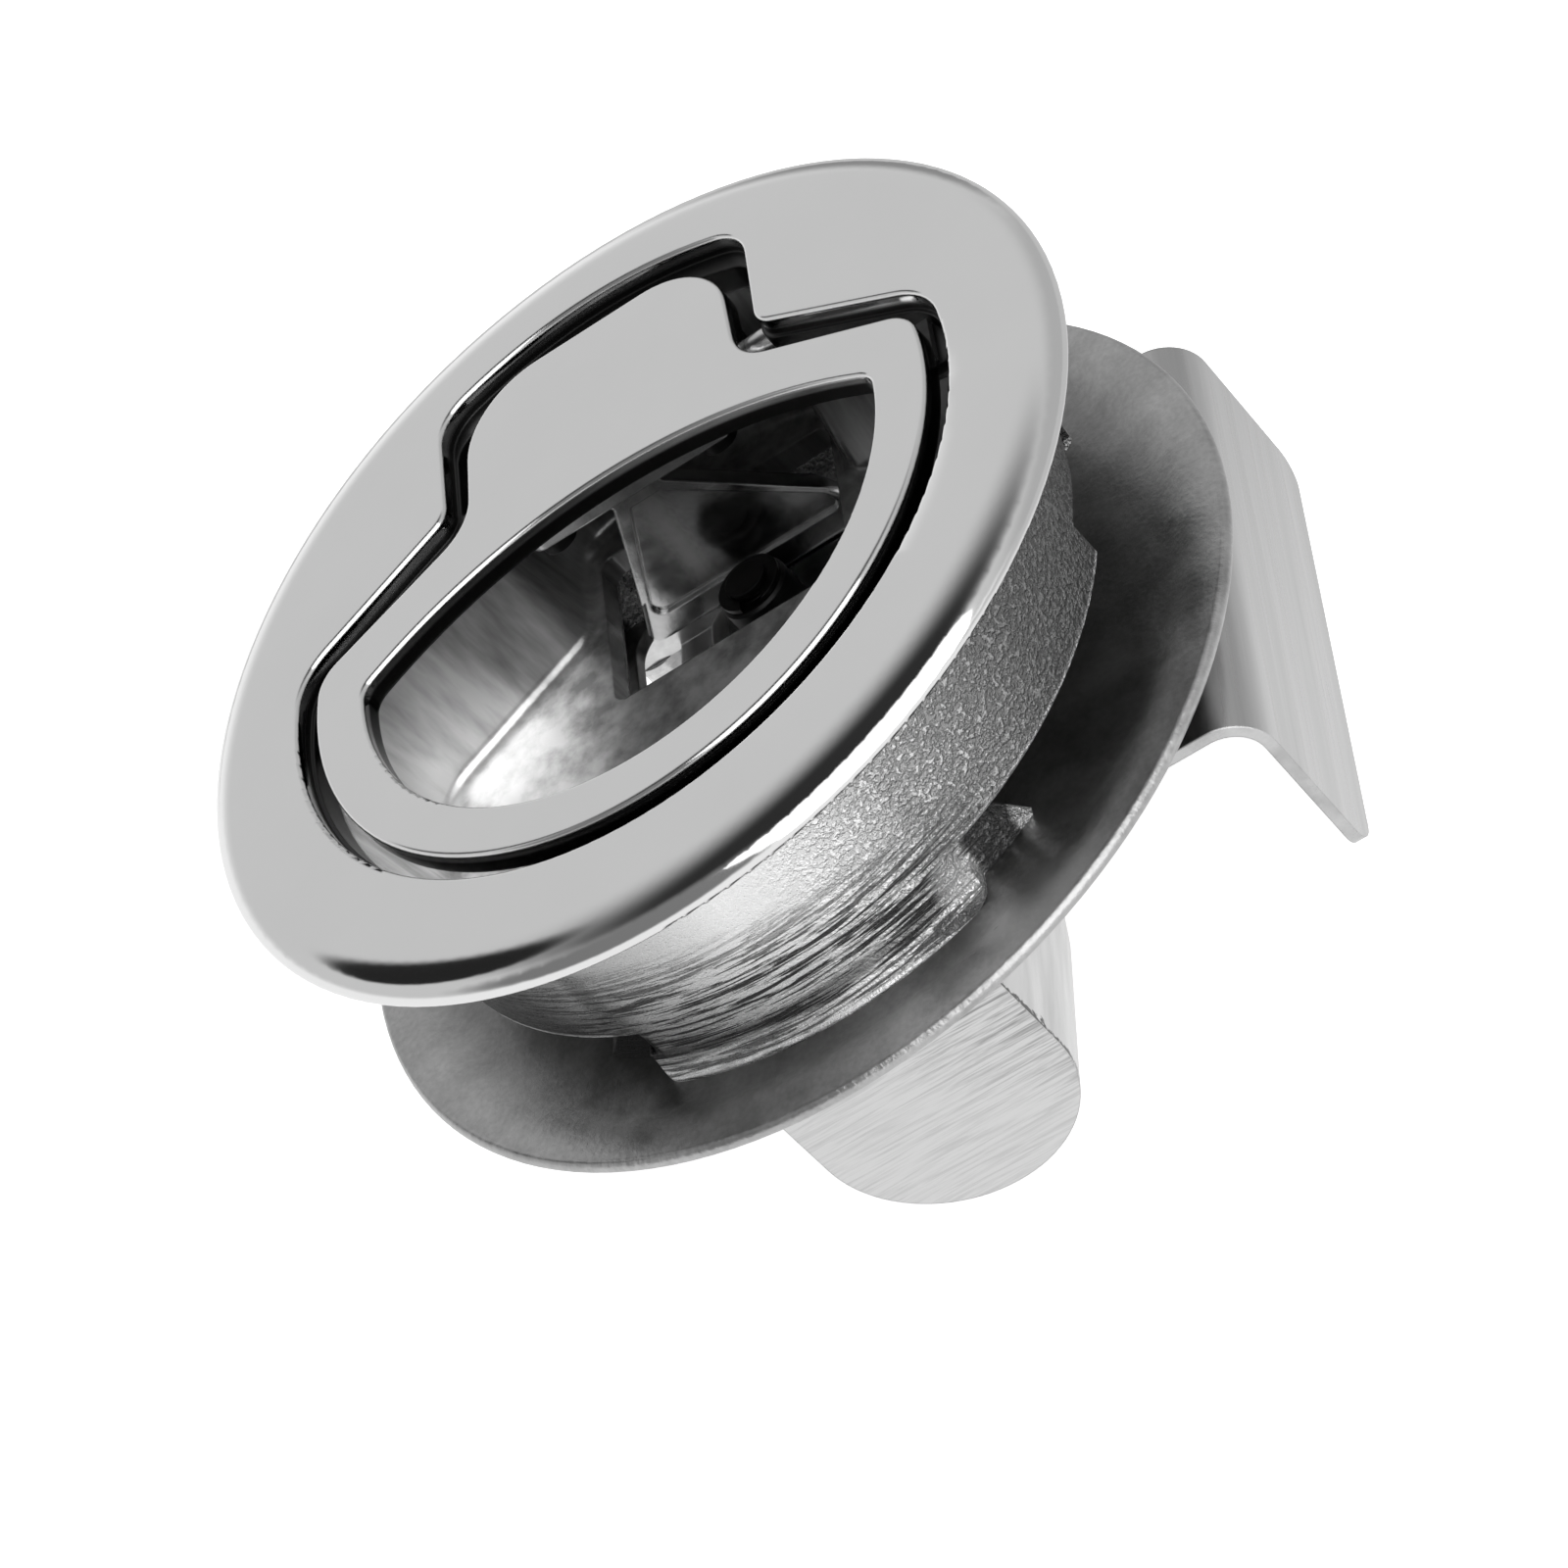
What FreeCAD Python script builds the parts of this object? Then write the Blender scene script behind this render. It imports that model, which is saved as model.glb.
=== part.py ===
import FreeCAD, Part
import math
import os

# Flush lift-handle latch. Millimetres. The panel seat (back of the flange) is z = 0,
# +Z leaves the front face, +Y runs to the thumb tab, +X to the tongue.

# Flange and cup
CUP_R = 25.4
FLANGE_OVERHANG = 6.35
FLANGE_T = 1.79
DOME_WIDTH = 4.25
DOME_RUN = 2.7
DOME_FALL = 0.49
FLANGE_EDGE = 0.35
BACK_CHAMFER = 0.5
CUP_WALL = 1.2
CUP_BACK = 13.4
FLOOR_T = 2.0
FLOOR_FILLET = 1.0
WALL_DRAFT = 1.6
RECESS_FLOOR = 0.35
RECESS_WALL = 1.0
KEY_Y = 0.8
NECK_HALF = 12.0
TAB_OVERHANG = 0.3
TAB_CORNER_R = 3.5
SHOULDER_Y = 13.1
SHOULDER_SLOPE = 0.573
WINDOW_HALF = 9.1
WINDOW_Y = (4.4, 18.6)
WINDOW_CORNER_R = 1.0
NOTCH_HALF_DEG = 12.6
NOTCH_REACH = 1.9
NOTCH_DEPTH = 3.2

# Feet that stand on the clamp plate
FOOT_REACH = 7.2
FOOT_HALF_TOP = 12.5
FOOT_HALF_END = 15.4
FOOT_SKIN_T = 1.1
FOOT_SKIN_HALF = 11.2
FOOT_NOSE_R = 1.3
LIP_OUT = 0.9
LIP_T = 1.8

# Handle
HANDLE_GAP = 1.5
HANDLE_T = 1.7
BRIDGE_PAD_T = 0.5
BRIDGE_PAD_HALF = 9.0
HANDLE_NECK_HALF = 10.4
HANDLE_TAB_HALF = 9.9
TAB_GAP = 2.8
HANDLE_TAB_CORNER_R = 6.0
HANDLE_SHOULDER_Y = 10.9
HANDLE_SHOULDER_SLOPE = 0.482
RING_WIDTH = 3.7
HOLE_Y = 0.7
HOLE_CHORD_R = 34.0
HOLE_CHORD_Y = 7.6
HOLE_CORNER_R = 1.7
EDGE_BREAK = 0.3

# Hinge
HINGE_Y = 14.0
HINGE_Z = -1.0
PIN_R = 1.25
PIN_SETBACK = 7.9
PIN_FIT = 0.02
KNUCKLE_R = 2.1
KNUCKLE_HALF = 10.0
COIL_GAP_HALF = 2.6
LEG_RELIEF = 3.5

# Lever under the handle
LEVER_T = 1.2
LEVER_FLANGE_HALF = 8.0
LEVER_FLANGE_Y = (8.9, 11.6)
LEVER_TOP_HALF = 1.9
LEVER_BEND_Y = 9.0
LEVER_ELBOW_Z = -13.4
LEVER_FACE_Y = 15.0
LEVER_TIP_Z = -17.0
LEVER_TIP_HALF = 9.4
LEVER_TIP_CORNER_R = 0.8
PANEL_DEPTH = 0.35
PANEL_BORDER = 1.2
LEVER_SCREW_X = 6.2
LEVER_SCREW_R = 0.8
LEVER_SCREW_HEAD_R = 1.3
LEVER_SCREW_HEAD_T = 0.8
LEVER_SCREW_DEPTH = 1.6

# Handle spring
SPRING_WIRE_R = 0.3
SPRING_MEAN_R = 1.6
SPRING_PITCH = 0.7
SPRING_LEG_Y = 19.5
SPRING_REST_DEG = 63.0

# Rubber pads below the handle ring
PAD_SETBACK = 2.2
PAD_Y = 4.2
PAD_HALF_X = 0.8
PAD_HALF_Y = 1.8
PAD_T = 0.6
LEDGE_DEPTH = 1.4

# Clamp plate
PLATE_OVERHANG = 7.1
PLATE_T = 1.0
PLATE_RIM_RISE = 0.8
PLATE_RIM_WIDTH = 2.7
PLATE_SLOPE_WIDTH = 1.8
GRIP = 16.15
OPENING_HALF = 10.6
OPENING_Y = (-2.2, 18.0)
OPENING_CORNER_R = 3.0

# Rear housing
EAR_OVERHANG = 0.2
EAR_STEP = 1.6
BLOCK_END_HALF = 8.45
BLOCK_MID_HALF = 9.53
BARREL_Z = -29.1
BORE_R = 6.3
BORE_END_WALL = 2.0
TONGUE_GAP = 0.3
EAR_HALF = 14.0
EAR_T = 2.5

# Housing screws
SCREW_X = 11.1
SCREW_INSET = 1.7
SCREW_R = 1.0
SCREW_HOLE_R = 1.15
SCREW_HEAD_R = 1.9
SCREW_HEAD_T = 2.0
SCREW_SOCKET_R = 0.85
SCREW_TOP_Z = -12.6
WASHER_R = 2.1
WASHER_T = 0.5

# Tongue
TONGUE_T = 0.8
TONGUE_SKEW = 1.7
TONGUE_SETBACK = 6.2
TONGUE_FRONT_Z = -19.1
TONGUE_TAIL_X = -7.5
TONGUE_NOSE_X = 29.3
TONGUE_END_Z = -33.5
TONGUE_BEND_R = 3.2
TONGUE_CORNER_R = 2.0
TONGUE_DRAW = 8.0

# Plunger, post and rollers
PLUNGER_TRAVEL = 9.5
PLUNGER_R = 6.22
PLUNGER_L = 14.0
PLUG_L = 3.75
PLUNGER_PILOT_R = 3.9
PLUNGER_PILOT_L = 2.5
POST_Y = 12.25
POST_R = 1.5
POST_TOP_Z = -13.9
POST_DEPTH = 7.0
POST_SLOT_HALF = 1.8
ROLLER_R = 2.5
ROLLER_FIT = 0.05
SLOT_FIT = 0.1
CLIP_T = 0.4
CLIP_R = 2.3
CLIP_GROOVE_R = 1.1
GUIDE_X = -3.0
GUIDE_YS = (-6.0, -14.0)
GUIDE_R = 1.5
GUIDE_DEPTH = 2.0

# Plunger spring and barrel plug
COIL_WIRE_R = 0.35
COIL_MEAN_R = 5.2
COIL_TURNS = 8
PLUG_SLOT_HALF = 0.8
PLUG_SLOT_DEPTH = 1.4
PLUG_GAP = 0.05
THREAD_FIT = 0.03

# Derived sizes
FLANGE_R = CUP_R + FLANGE_OVERHANG
FLANGE_FLAT_R = FLANGE_R - DOME_WIDTH
RECESS_R = CUP_R - RECESS_WALL
TAB_END_R = CUP_R + TAB_OVERHANG
CAVITY_R = CUP_R - CUP_WALL
NOTCH_R = CUP_R - NOTCH_REACH
FOOT_CORE_R = CUP_R - FOOT_SKIN_T
FOOT_INNER_Y = CUP_R - FOOT_REACH
LIP_R = CUP_R + LIP_OUT
HANDLE_R = RECESS_R - HANDLE_GAP
HANDLE_TAB_Y = TAB_END_R - TAB_GAP
HOLE_R = HANDLE_R - RING_WIDTH
PIN_HALF = CUP_R - PIN_SETBACK
PAD_X = CAVITY_R - PAD_SETBACK
PLATE_R = CUP_R + PLATE_OVERHANG
PLATE_RIM_FROM_R = PLATE_R - PLATE_RIM_WIDTH
PLATE_FLAT_R = PLATE_RIM_FROM_R - PLATE_SLOPE_WIDTH
EAR_R = CUP_R + EAR_OVERHANG
BLOCK_HALF_LENGTH = EAR_R - EAR_STEP
BLOCK_MID_Y = BLOCK_HALF_LENGTH / 2
SCREW_Y = FOOT_INNER_Y + SCREW_INSET
TONGUE_HALF = BLOCK_HALF_LENGTH - TONGUE_SETBACK
PLUNGER_END_Y = BLOCK_HALF_LENGTH - 0.2 - PLUG_L - PLUG_GAP
PLUNGER_Y = (PLUNGER_END_Y - PLUNGER_L, PLUNGER_END_Y)

# Derived levels and places
FLOOR_TOP_Z = -(CUP_BACK - FLOOR_T)
HANDLE_BACK_Z = FLANGE_T - HANDLE_T
LEDGE_Z = HANDLE_BACK_Z - PAD_T - PIN_FIT
LEVER_SEAT_Z = HANDLE_BACK_Z - BRIDGE_PAD_T
PLATE_FRONT_Z = -(GRIP + PLATE_RIM_RISE)
PLATE_BACK_Z = PLATE_FRONT_Z - PLATE_T
HOUSING_FRONT_Z = TONGUE_FRONT_Z - TONGUE_T - TONGUE_GAP
END_BLOCK_Y = TONGUE_HALF + TONGUE_GAP
EAR_BACK_Z = PLATE_BACK_Z - EAR_T
POST_END_Y = POST_Y - PLUNGER_TRAVEL

X_AXIS = FreeCAD.Vector(1, 0, 0)
Y_AXIS = FreeCAD.Vector(0, 1, 0)
Z_AXIS = FreeCAD.Vector(0, 0, 1)


def vec(x, y, z=0.0):
    return FreeCAD.Vector(x, y, z)


def box(x0, x1, y0, y1, z0, z1):
    return Part.makeBox(x1 - x0, y1 - y0, z1 - z0, vec(x0, y0, z0))


def rod(radius, z0, z1, x=0.0, y=0.0):
    return Part.makeCylinder(radius, z1 - z0, vec(x, y, z0), Z_AXIS)


def rod_y(radius, y0, y1, x=0.0, z=0.0):
    return Part.makeCylinder(radius, y1 - y0, vec(x, y0, z), Y_AXIS)


def rod_x(radius, x0, x1, y, z):
    return Part.makeCylinder(radius, x1 - x0, vec(x0, y, z), X_AXIS)


def prism(points, z0, z1):
    wire = Part.makePolygon(points + [points[0]])
    solid = Part.Face(wire).extrude(vec(0, 0, z1 - z0))
    solid.translate(vec(0, 0, z0))
    return solid


def revolve(edges):
    face = Part.Face(Part.Wire(edges))
    return face.revolve(vec(0, 0, 0), Z_AXIS, 360)


def line(a, b):
    return Part.makeLine(a, b)


def upright_edges(solid, x, y, reach=0.4):
    found = []
    for edge in solid.Edges:
        box_of = edge.BoundBox
        upright = box_of.XLength < 0.01 and box_of.YLength < 0.01
        if upright and math.hypot(box_of.XMin - x, box_of.YMin - y) < reach:
            found.append(edge)
    return found


def round_corner(solid, radius, x, y, reach=0.4):
    for side in (-1, 1):
        edges = upright_edges(solid, side * x, y, reach)
        if edges:
            solid = solid.makeFillet(radius, edges)
    return solid


def edges_at_height(solid, z):
    found = []
    for edge in solid.Edges:
        box_of = edge.BoundBox
        if abs(box_of.ZMin - z) < 0.005 and abs(box_of.ZMax - z) < 0.005:
            found.append(edge)
    return found


def clean(solid):
    return solid.removeSplitter()


def circle_crossing(radius, centre_y, neck_x, start_y, slope):
    """Where the falling shoulder line meets the circle."""
    a = 1 + slope * slope
    rise = start_y + slope * neck_x - centre_y
    b = -2 * slope * rise
    c = rise * rise - radius * radius
    x = (-b + math.sqrt(b * b - 4 * a * c)) / (2 * a)
    return x, start_y - slope * (x - neck_x)


def keyhole(disc_r, disc_y, neck_half, tab_half, tab_y, shoulder_y, slope, z0, z1):
    """Disc with a neck: the shoulders fall along straight lines from the neck to the disc."""
    disc = rod(disc_r, z0, z1, 0, disc_y)
    meet_x, meet_y = circle_crossing(disc_r, disc_y, neck_half, shoulder_y, slope)
    top = prism([vec(-meet_x, meet_y), vec(meet_x, meet_y), vec(neck_half, shoulder_y),
                 vec(tab_half, tab_y), vec(-tab_half, tab_y), vec(-neck_half, shoulder_y)], z0, z1)
    far = disc_r + disc_y + 1
    above_left = prism([vec(-meet_x, meet_y), vec(-neck_half, shoulder_y),
                        vec(-neck_half, far), vec(-disc_r - 1, far), vec(-disc_r - 1, meet_y)], z0, z1)
    above_right = above_left.mirror(vec(0, 0, 0), X_AXIS)
    middle = box(-neck_half, neck_half, shoulder_y, far, z0, z1)
    disc = disc.cut(above_left).cut(above_right).cut(middle)
    return clean(disc.fuse(top)), meet_x, meet_y


def recess_outline(inset, z0, z1, end_r, end_corner):
    """Keyhole moved inwards by the inset, its tab end a circle about the flange's axis."""
    disc_r = RECESS_R - inset
    neck = NECK_HALF - inset
    drop = inset * (math.hypot(1, SHOULDER_SLOPE) - SHOULDER_SLOPE)
    solid, meet_x, meet_y = keyhole(disc_r, KEY_Y, neck, neck, end_r + 1,
                                    SHOULDER_Y - drop, SHOULDER_SLOPE, z0, z1)
    below_tab = box(-disc_r - 1, disc_r + 1, -disc_r - 1, SHOULDER_Y / 2, z0, z1)
    solid = clean(solid.common(rod(end_r, z0, z1).fuse(below_tab)))
    solid = round_corner(solid, 2.0, neck, SHOULDER_Y - drop)
    solid = round_corner(solid, 5.0, meet_x, meet_y)
    end_y = math.sqrt(end_r * end_r - neck * neck)
    return round_corner(solid, end_corner, neck, end_y)


def bottom_wire(solid):
    faces = sorted(solid.Faces, key=lambda face: face.CenterOfMass.z)
    return faces[0].OuterWire


def cup_cavity():
    """Hollow below the recess: its wall leans in by the draft down to a rounded floor corner."""
    top_z = RECESS_FLOOR + 0.5
    inset = RECESS_R - CAVITY_R
    top = recess_outline(inset, top_z, top_z + 1, CAVITY_R, 2.5)
    low = recess_outline(inset + WALL_DRAFT, FLOOR_TOP_Z, FLOOR_TOP_Z + 1,
                         CAVITY_R - WALL_DRAFT, 2.5)
    cavity = Part.makeLoft([bottom_wire(top), bottom_wire(low)], True, True)
    return cavity.makeFillet(FLOOR_FILLET, edges_at_height(cavity, FLOOR_TOP_Z))


def flange_body():
    """Flat face that domes over to the thin edge, and the cup's wall below it."""
    dome = Part.BezierCurve()
    dome.setPoles([vec(FLANGE_FLAT_R, 0, FLANGE_T), vec(FLANGE_FLAT_R + DOME_RUN, 0, FLANGE_T),
                   vec(FLANGE_R, 0, FLANGE_T - DOME_FALL), vec(FLANGE_R, 0, FLANGE_EDGE)])
    low = FLANGE_R - FLANGE_EDGE
    turn = Part.Arc(vec(FLANGE_R, 0, FLANGE_EDGE),
                    vec(low + FLANGE_EDGE * math.sin(math.pi / 4), 0,
                        FLANGE_EDGE - FLANGE_EDGE * math.sin(math.pi / 4)),
                    vec(low, 0, 0))
    soft = BACK_CHAMFER
    edges = [line(vec(0, 0, FLANGE_T), vec(FLANGE_FLAT_R, 0, FLANGE_T)), dome.toShape(),
             turn.toShape(), line(vec(low, 0, 0), vec(CUP_R, 0, 0)),
             line(vec(CUP_R, 0, 0), vec(CUP_R, 0, -CUP_BACK + soft)),
             line(vec(CUP_R, 0, -CUP_BACK + soft), vec(CUP_R - soft, 0, -CUP_BACK)),
             line(vec(CUP_R - soft, 0, -CUP_BACK), vec(0, 0, -CUP_BACK)),
             line(vec(0, 0, -CUP_BACK), vec(0, 0, FLANGE_T))]
    return revolve(edges)


def rounded_cap(radius, half, corner, z0, z1):
    """Segment of a disc beyond the foot's inner face, its two ends rounded in plan."""
    cap = rod(radius, z0, z1).common(box(-half, half, FOOT_INNER_Y, radius + 1, z0, z1))
    return round_corner(cap, corner, half, math.sqrt(radius * radius - half * half))


def foot(side):
    """Segment block whose flanks spread to the clamp plate, below a narrower lipped skin."""
    top_z = FLOOR_TOP_Z - FLOOR_T / 2
    core = rod(FOOT_CORE_R, PLATE_FRONT_Z, top_z)
    flank = Part.Face(Part.makePolygon([
        vec(-FOOT_HALF_END, 0, PLATE_FRONT_Z), vec(FOOT_HALF_END, 0, PLATE_FRONT_Z),
        vec(FOOT_HALF_TOP, 0, -CUP_BACK), vec(FOOT_HALF_TOP, 0, top_z),
        vec(-FOOT_HALF_TOP, 0, top_z), vec(-FOOT_HALF_TOP, 0, -CUP_BACK),
        vec(-FOOT_HALF_END, 0, PLATE_FRONT_Z)]))
    flank = flank.extrude(vec(0, LIP_R, 0))
    flank.translate(vec(0, FOOT_INNER_Y, 0))
    low = PLATE_FRONT_Z
    flare_top = vec(CUP_R, 0, low + LIP_T)
    flare_end = vec(LIP_R, 0, low)
    flare_mid = vec(CUP_R + 0.2 * (LIP_R - CUP_R), 0, low + 0.38 * LIP_T)
    lip = revolve([line(vec(0, 0, low), flare_end),
                   Part.Arc(flare_end, flare_mid, flare_top).toShape(),
                   line(flare_top, vec(0, 0, low + LIP_T)),
                   line(vec(0, 0, low + LIP_T), vec(0, 0, low))])
    lip = lip.common(rounded_cap(LIP_R, FOOT_SKIN_HALF + 0.4, FOOT_NOSE_R + 0.4, low, top_z))
    skin = rounded_cap(CUP_R, FOOT_SKIN_HALF, FOOT_NOSE_R, low, top_z).fuse(lip)
    block = core.common(flank).fuse(skin)
    if side < 0:
        block = block.mirror(vec(0, 0, 0), Y_AXIS)
    return block


def rear_notch(side):
    """Relief in the cup's rear edge on the tongue's axis."""
    ring = rod(CUP_R + 1, -CUP_BACK - 1, -CUP_BACK + NOTCH_DEPTH)
    ring = ring.cut(rod(NOTCH_R, -CUP_BACK - 1, -CUP_BACK + NOTCH_DEPTH))
    spread = (CUP_R + 1) * math.tan(math.radians(NOTCH_HALF_DEG))
    wedge = prism([vec(0, 0), vec(side * (CUP_R + 1), -spread),
                   vec(side * (CUP_R + 1), spread)], -CUP_BACK - 1, -CUP_BACK + NOTCH_DEPTH)
    return ring.common(wedge)


def flange_cup():
    """One casting: flange, cup, floor with the lever's window, shoulders and feet."""
    body = flange_body()
    body = body.fuse(foot(1)).fuse(foot(-1))
    recess = recess_outline(0, RECESS_FLOOR, FLANGE_T + 1, TAB_END_R, TAB_CORNER_R)
    body = body.cut(recess).cut(cup_cavity())
    window = box(-WINDOW_HALF, WINDOW_HALF, WINDOW_Y[0], WINDOW_Y[1],
                 -CUP_BACK - 1, FLOOR_TOP_Z + 1)
    window = round_corner(window, WINDOW_CORNER_R, WINDOW_HALF, WINDOW_Y[0])
    window = round_corner(window, WINDOW_CORNER_R, WINDOW_HALF, WINDOW_Y[1])
    body = body.cut(window)
    body = body.cut(rear_notch(1)).cut(rear_notch(-1))
    body = body.fuse(pad_ledge(1)).fuse(pad_ledge(-1))
    body = clean(body)
    top_edges = []
    for edge in edges_at_height(body, FLANGE_T):
        if edge.BoundBox.DiagonalLength < 2 * FLANGE_FLAT_R * 1.3 and not is_flat_rim(edge):
            top_edges.append(edge)
    body = body.makeFillet(EDGE_BREAK, top_edges)
    body = body.cut(rod_x(PIN_R + PIN_FIT, -PIN_HALF - 0.2, CUP_R, HINGE_Y, HINGE_Z))
    for sx in (-1, 1):
        for sy in (-1, 1):
            body = body.cut(rod(SCREW_R + PIN_FIT, PLATE_FRONT_Z - 1, SCREW_TOP_Z + 0.2,
                                sx * SCREW_X, sy * SCREW_Y))
    return body


def is_flat_rim(edge):
    """True for the circle where the flat face meets the dome."""
    curve = edge.Curve
    return hasattr(curve, "Radius") and abs(curve.Radius - FLANGE_FLAT_R) < 0.01


def pad_ledge(side):
    """Shelf on the cup's inner wall that carries one rubber pad."""
    shelf = box(PAD_X - PAD_HALF_X - 0.3, CUP_R, PAD_Y - PAD_HALF_Y - 0.3,
                PAD_Y + PAD_HALF_Y + 0.3, LEDGE_Z - LEDGE_DEPTH, LEDGE_Z)
    shelf = shelf.common(rod(CUP_R - 0.2, LEDGE_Z - LEDGE_DEPTH, LEDGE_Z))
    nose_x = PAD_X - PAD_HALF_X - 0.4
    low_z = LEDGE_Z - LEDGE_DEPTH - 0.1
    corner = vec(nose_x, 0, low_z)
    under = [corner, vec(CAVITY_R, 0, low_z), vec(nose_x, 0, LEDGE_Z - 0.8), corner]
    chamfer = Part.Face(Part.makePolygon(under)).extrude(vec(0, 4 * PAD_HALF_Y, 0))
    chamfer.translate(vec(0, PAD_Y - 2 * PAD_HALF_Y, 0))
    shelf = shelf.cut(chamfer)
    if side < 0:
        shelf = shelf.mirror(vec(0, 0, 0), X_AXIS)
    return shelf


def handle_bumpers():
    pads = []
    for side in (-1, 1):
        x = side * PAD_X
        pad = box(x - PAD_HALF_X, x + PAD_HALF_X, PAD_Y - PAD_HALF_Y, PAD_Y + PAD_HALF_Y,
                  LEDGE_Z, LEDGE_Z + PAD_T)
        pads.append(pad)
    return Part.makeCompound(pads)


def handle_plate():
    """Flat keyhole plate with the D-shaped finger hole and softened edges."""
    plate, meet_x, meet_y = keyhole(HANDLE_R, KEY_Y, HANDLE_NECK_HALF, HANDLE_TAB_HALF,
                                    HANDLE_TAB_Y, HANDLE_SHOULDER_Y, HANDLE_SHOULDER_SLOPE,
                                    HANDLE_BACK_Z, FLANGE_T)
    plate = round_corner(plate, 4.0, HANDLE_NECK_HALF, HANDLE_SHOULDER_Y)
    plate = round_corner(plate, 3.0, meet_x, meet_y)
    plate = round_corner(plate, HANDLE_TAB_CORNER_R, HANDLE_TAB_HALF, HANDLE_TAB_Y)
    hole = rod(HOLE_R, HANDLE_BACK_Z - 1, FLANGE_T + 1, 0, HOLE_Y)
    chord = rod(HOLE_CHORD_R, HANDLE_BACK_Z - 1, FLANGE_T + 1, 0, HOLE_CHORD_Y - HOLE_CHORD_R)
    hole = clean(hole.common(chord))
    hole = hole.makeFillet(HOLE_CORNER_R, [e for e in hole.Edges if is_upright(e)])
    plate = plate.cut(hole)
    return plate.makeFillet(EDGE_BREAK, edges_at_height(plate, FLANGE_T))


def is_upright(edge):
    box_of = edge.BoundBox
    return box_of.XLength < 0.01 and box_of.YLength < 0.01


def lift_handle():
    """The handle with its two knuckles, the spring's pocket and two blind holes."""
    body = handle_plate()
    pad = box(-BRIDGE_PAD_HALF, BRIDGE_PAD_HALF, LEVER_FLANGE_Y[0] + 0.1, HINGE_Y,
              LEVER_SEAT_Z, HANDLE_BACK_Z + 0.2)
    body = body.fuse(pad)
    for side in (-1, 1):
        x0 = min(side * COIL_GAP_HALF, side * KNUCKLE_HALF)
        x1 = max(side * COIL_GAP_HALF, side * KNUCKLE_HALF)
        knuckle = rod_x(KNUCKLE_R, x0, x1, HINGE_Y, HINGE_Z)
        web = box(x0, x1, HINGE_Y - KNUCKLE_R, HINGE_Y + KNUCKLE_R, HINGE_Z, HANDLE_BACK_Z + 0.2)
        body = body.fuse(knuckle.fuse(web).cut(box(x0, x1, 0, CUP_R, FLANGE_T - 0.9, FLANGE_T + 1)))
    pocket_r = SPRING_MEAN_R + SPRING_WIRE_R + 0.15
    body = body.cut(rod_x(pocket_r, -COIL_GAP_HALF, COIL_GAP_HALF, HINGE_Y, HINGE_Z))
    body = body.cut(box(-COIL_GAP_HALF, -0.9, HINGE_Y, HINGE_Y + LEG_RELIEF,
                        HINGE_Z, HINGE_Z + 1.4))
    body = body.cut(box(-COIL_GAP_HALF, COIL_GAP_HALF, HINGE_Y - KNUCKLE_R - 0.2, HINGE_Y,
                        HINGE_Z, HANDLE_BACK_Z))
    body = body.cut(rod_x(PIN_R + PIN_FIT, -KNUCKLE_HALF - 1, KNUCKLE_HALF + 1, HINGE_Y, HINGE_Z))
    for side in (-1, 1):
        body = body.cut(rod(LEVER_SCREW_R + PIN_FIT, LEVER_SEAT_Z - 1,
                            LEVER_SEAT_Z + LEVER_SCREW_DEPTH + 0.1,
                            side * LEVER_SCREW_X, screw_row_y()))
    return clean(body)


def screw_row_y():
    return (LEVER_FLANGE_Y[0] + LEVER_FLANGE_Y[1]) / 2


def hinge_pin():
    pin = rod_x(PIN_R, -PIN_HALF, PIN_HALF, HINGE_Y, HINGE_Z)
    return pin.makeChamfer(0.25, [e for e in pin.Edges if e.Closed])


def lever_outline(border):
    """Front view of the blade, moved in by a border: narrow at the top, flared to the nose."""
    top_z = LEVER_SEAT_Z
    start_z = top_z - LEVER_T - 0.4
    top_half = max(LEVER_TOP_HALF - border, 0.3)
    tip_half = LEVER_TIP_HALF - border * 1.3
    tip_z = LEVER_TIP_Z + border * 1.6
    points = [vec(-top_half, 0, top_z + 1), vec(top_half, 0, top_z + 1),
              vec(top_half, 0, start_z), vec(tip_half, 0, tip_z),
              vec(-tip_half, 0, tip_z), vec(-top_half, 0, start_z)]
    blade = Part.Face(Part.makePolygon(points + [points[0]])).extrude(vec(0, CUP_R, 0))
    corners = []
    for edge in blade.Edges:
        box_of = edge.BoundBox
        at_tip = abs(box_of.ZMin - tip_z) < 0.01 and box_of.ZLength < 0.01
        if at_tip and box_of.XLength < 0.01:
            corners.append(edge)
    return blade.makeFillet(LEVER_TIP_CORNER_R, corners)


def lever_sheet():
    """Side view of the lever carried across its width: flange, leaning blade, upright nose."""
    top_z = LEVER_SEAT_Z
    start_z = top_z - LEVER_T
    lean = math.atan2(LEVER_FACE_Y - LEVER_BEND_Y, start_z - LEVER_ELBOW_Z)
    back = LEVER_T / math.cos(lean)
    elbow_back_z = LEVER_ELBOW_Z + LEVER_T * math.tan(lean / 2)
    side = [vec(0, LEVER_FLANGE_Y[0], start_z), vec(0, LEVER_BEND_Y, start_z),
            vec(0, LEVER_FACE_Y, LEVER_ELBOW_Z), vec(0, LEVER_FACE_Y, LEVER_TIP_Z),
            vec(0, LEVER_FACE_Y + LEVER_T, LEVER_TIP_Z),
            vec(0, LEVER_FACE_Y + LEVER_T, elbow_back_z),
            vec(0, LEVER_BEND_Y + back - math.tan(lean) * LEVER_T, top_z),
            vec(0, LEVER_FLANGE_Y[0], top_z)]
    blade = Part.Face(Part.makePolygon(side + [side[0]])).extrude(vec(2 * LEVER_TIP_HALF, 0, 0))
    blade.translate(vec(-LEVER_TIP_HALF, 0, 0))
    return blade


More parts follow.
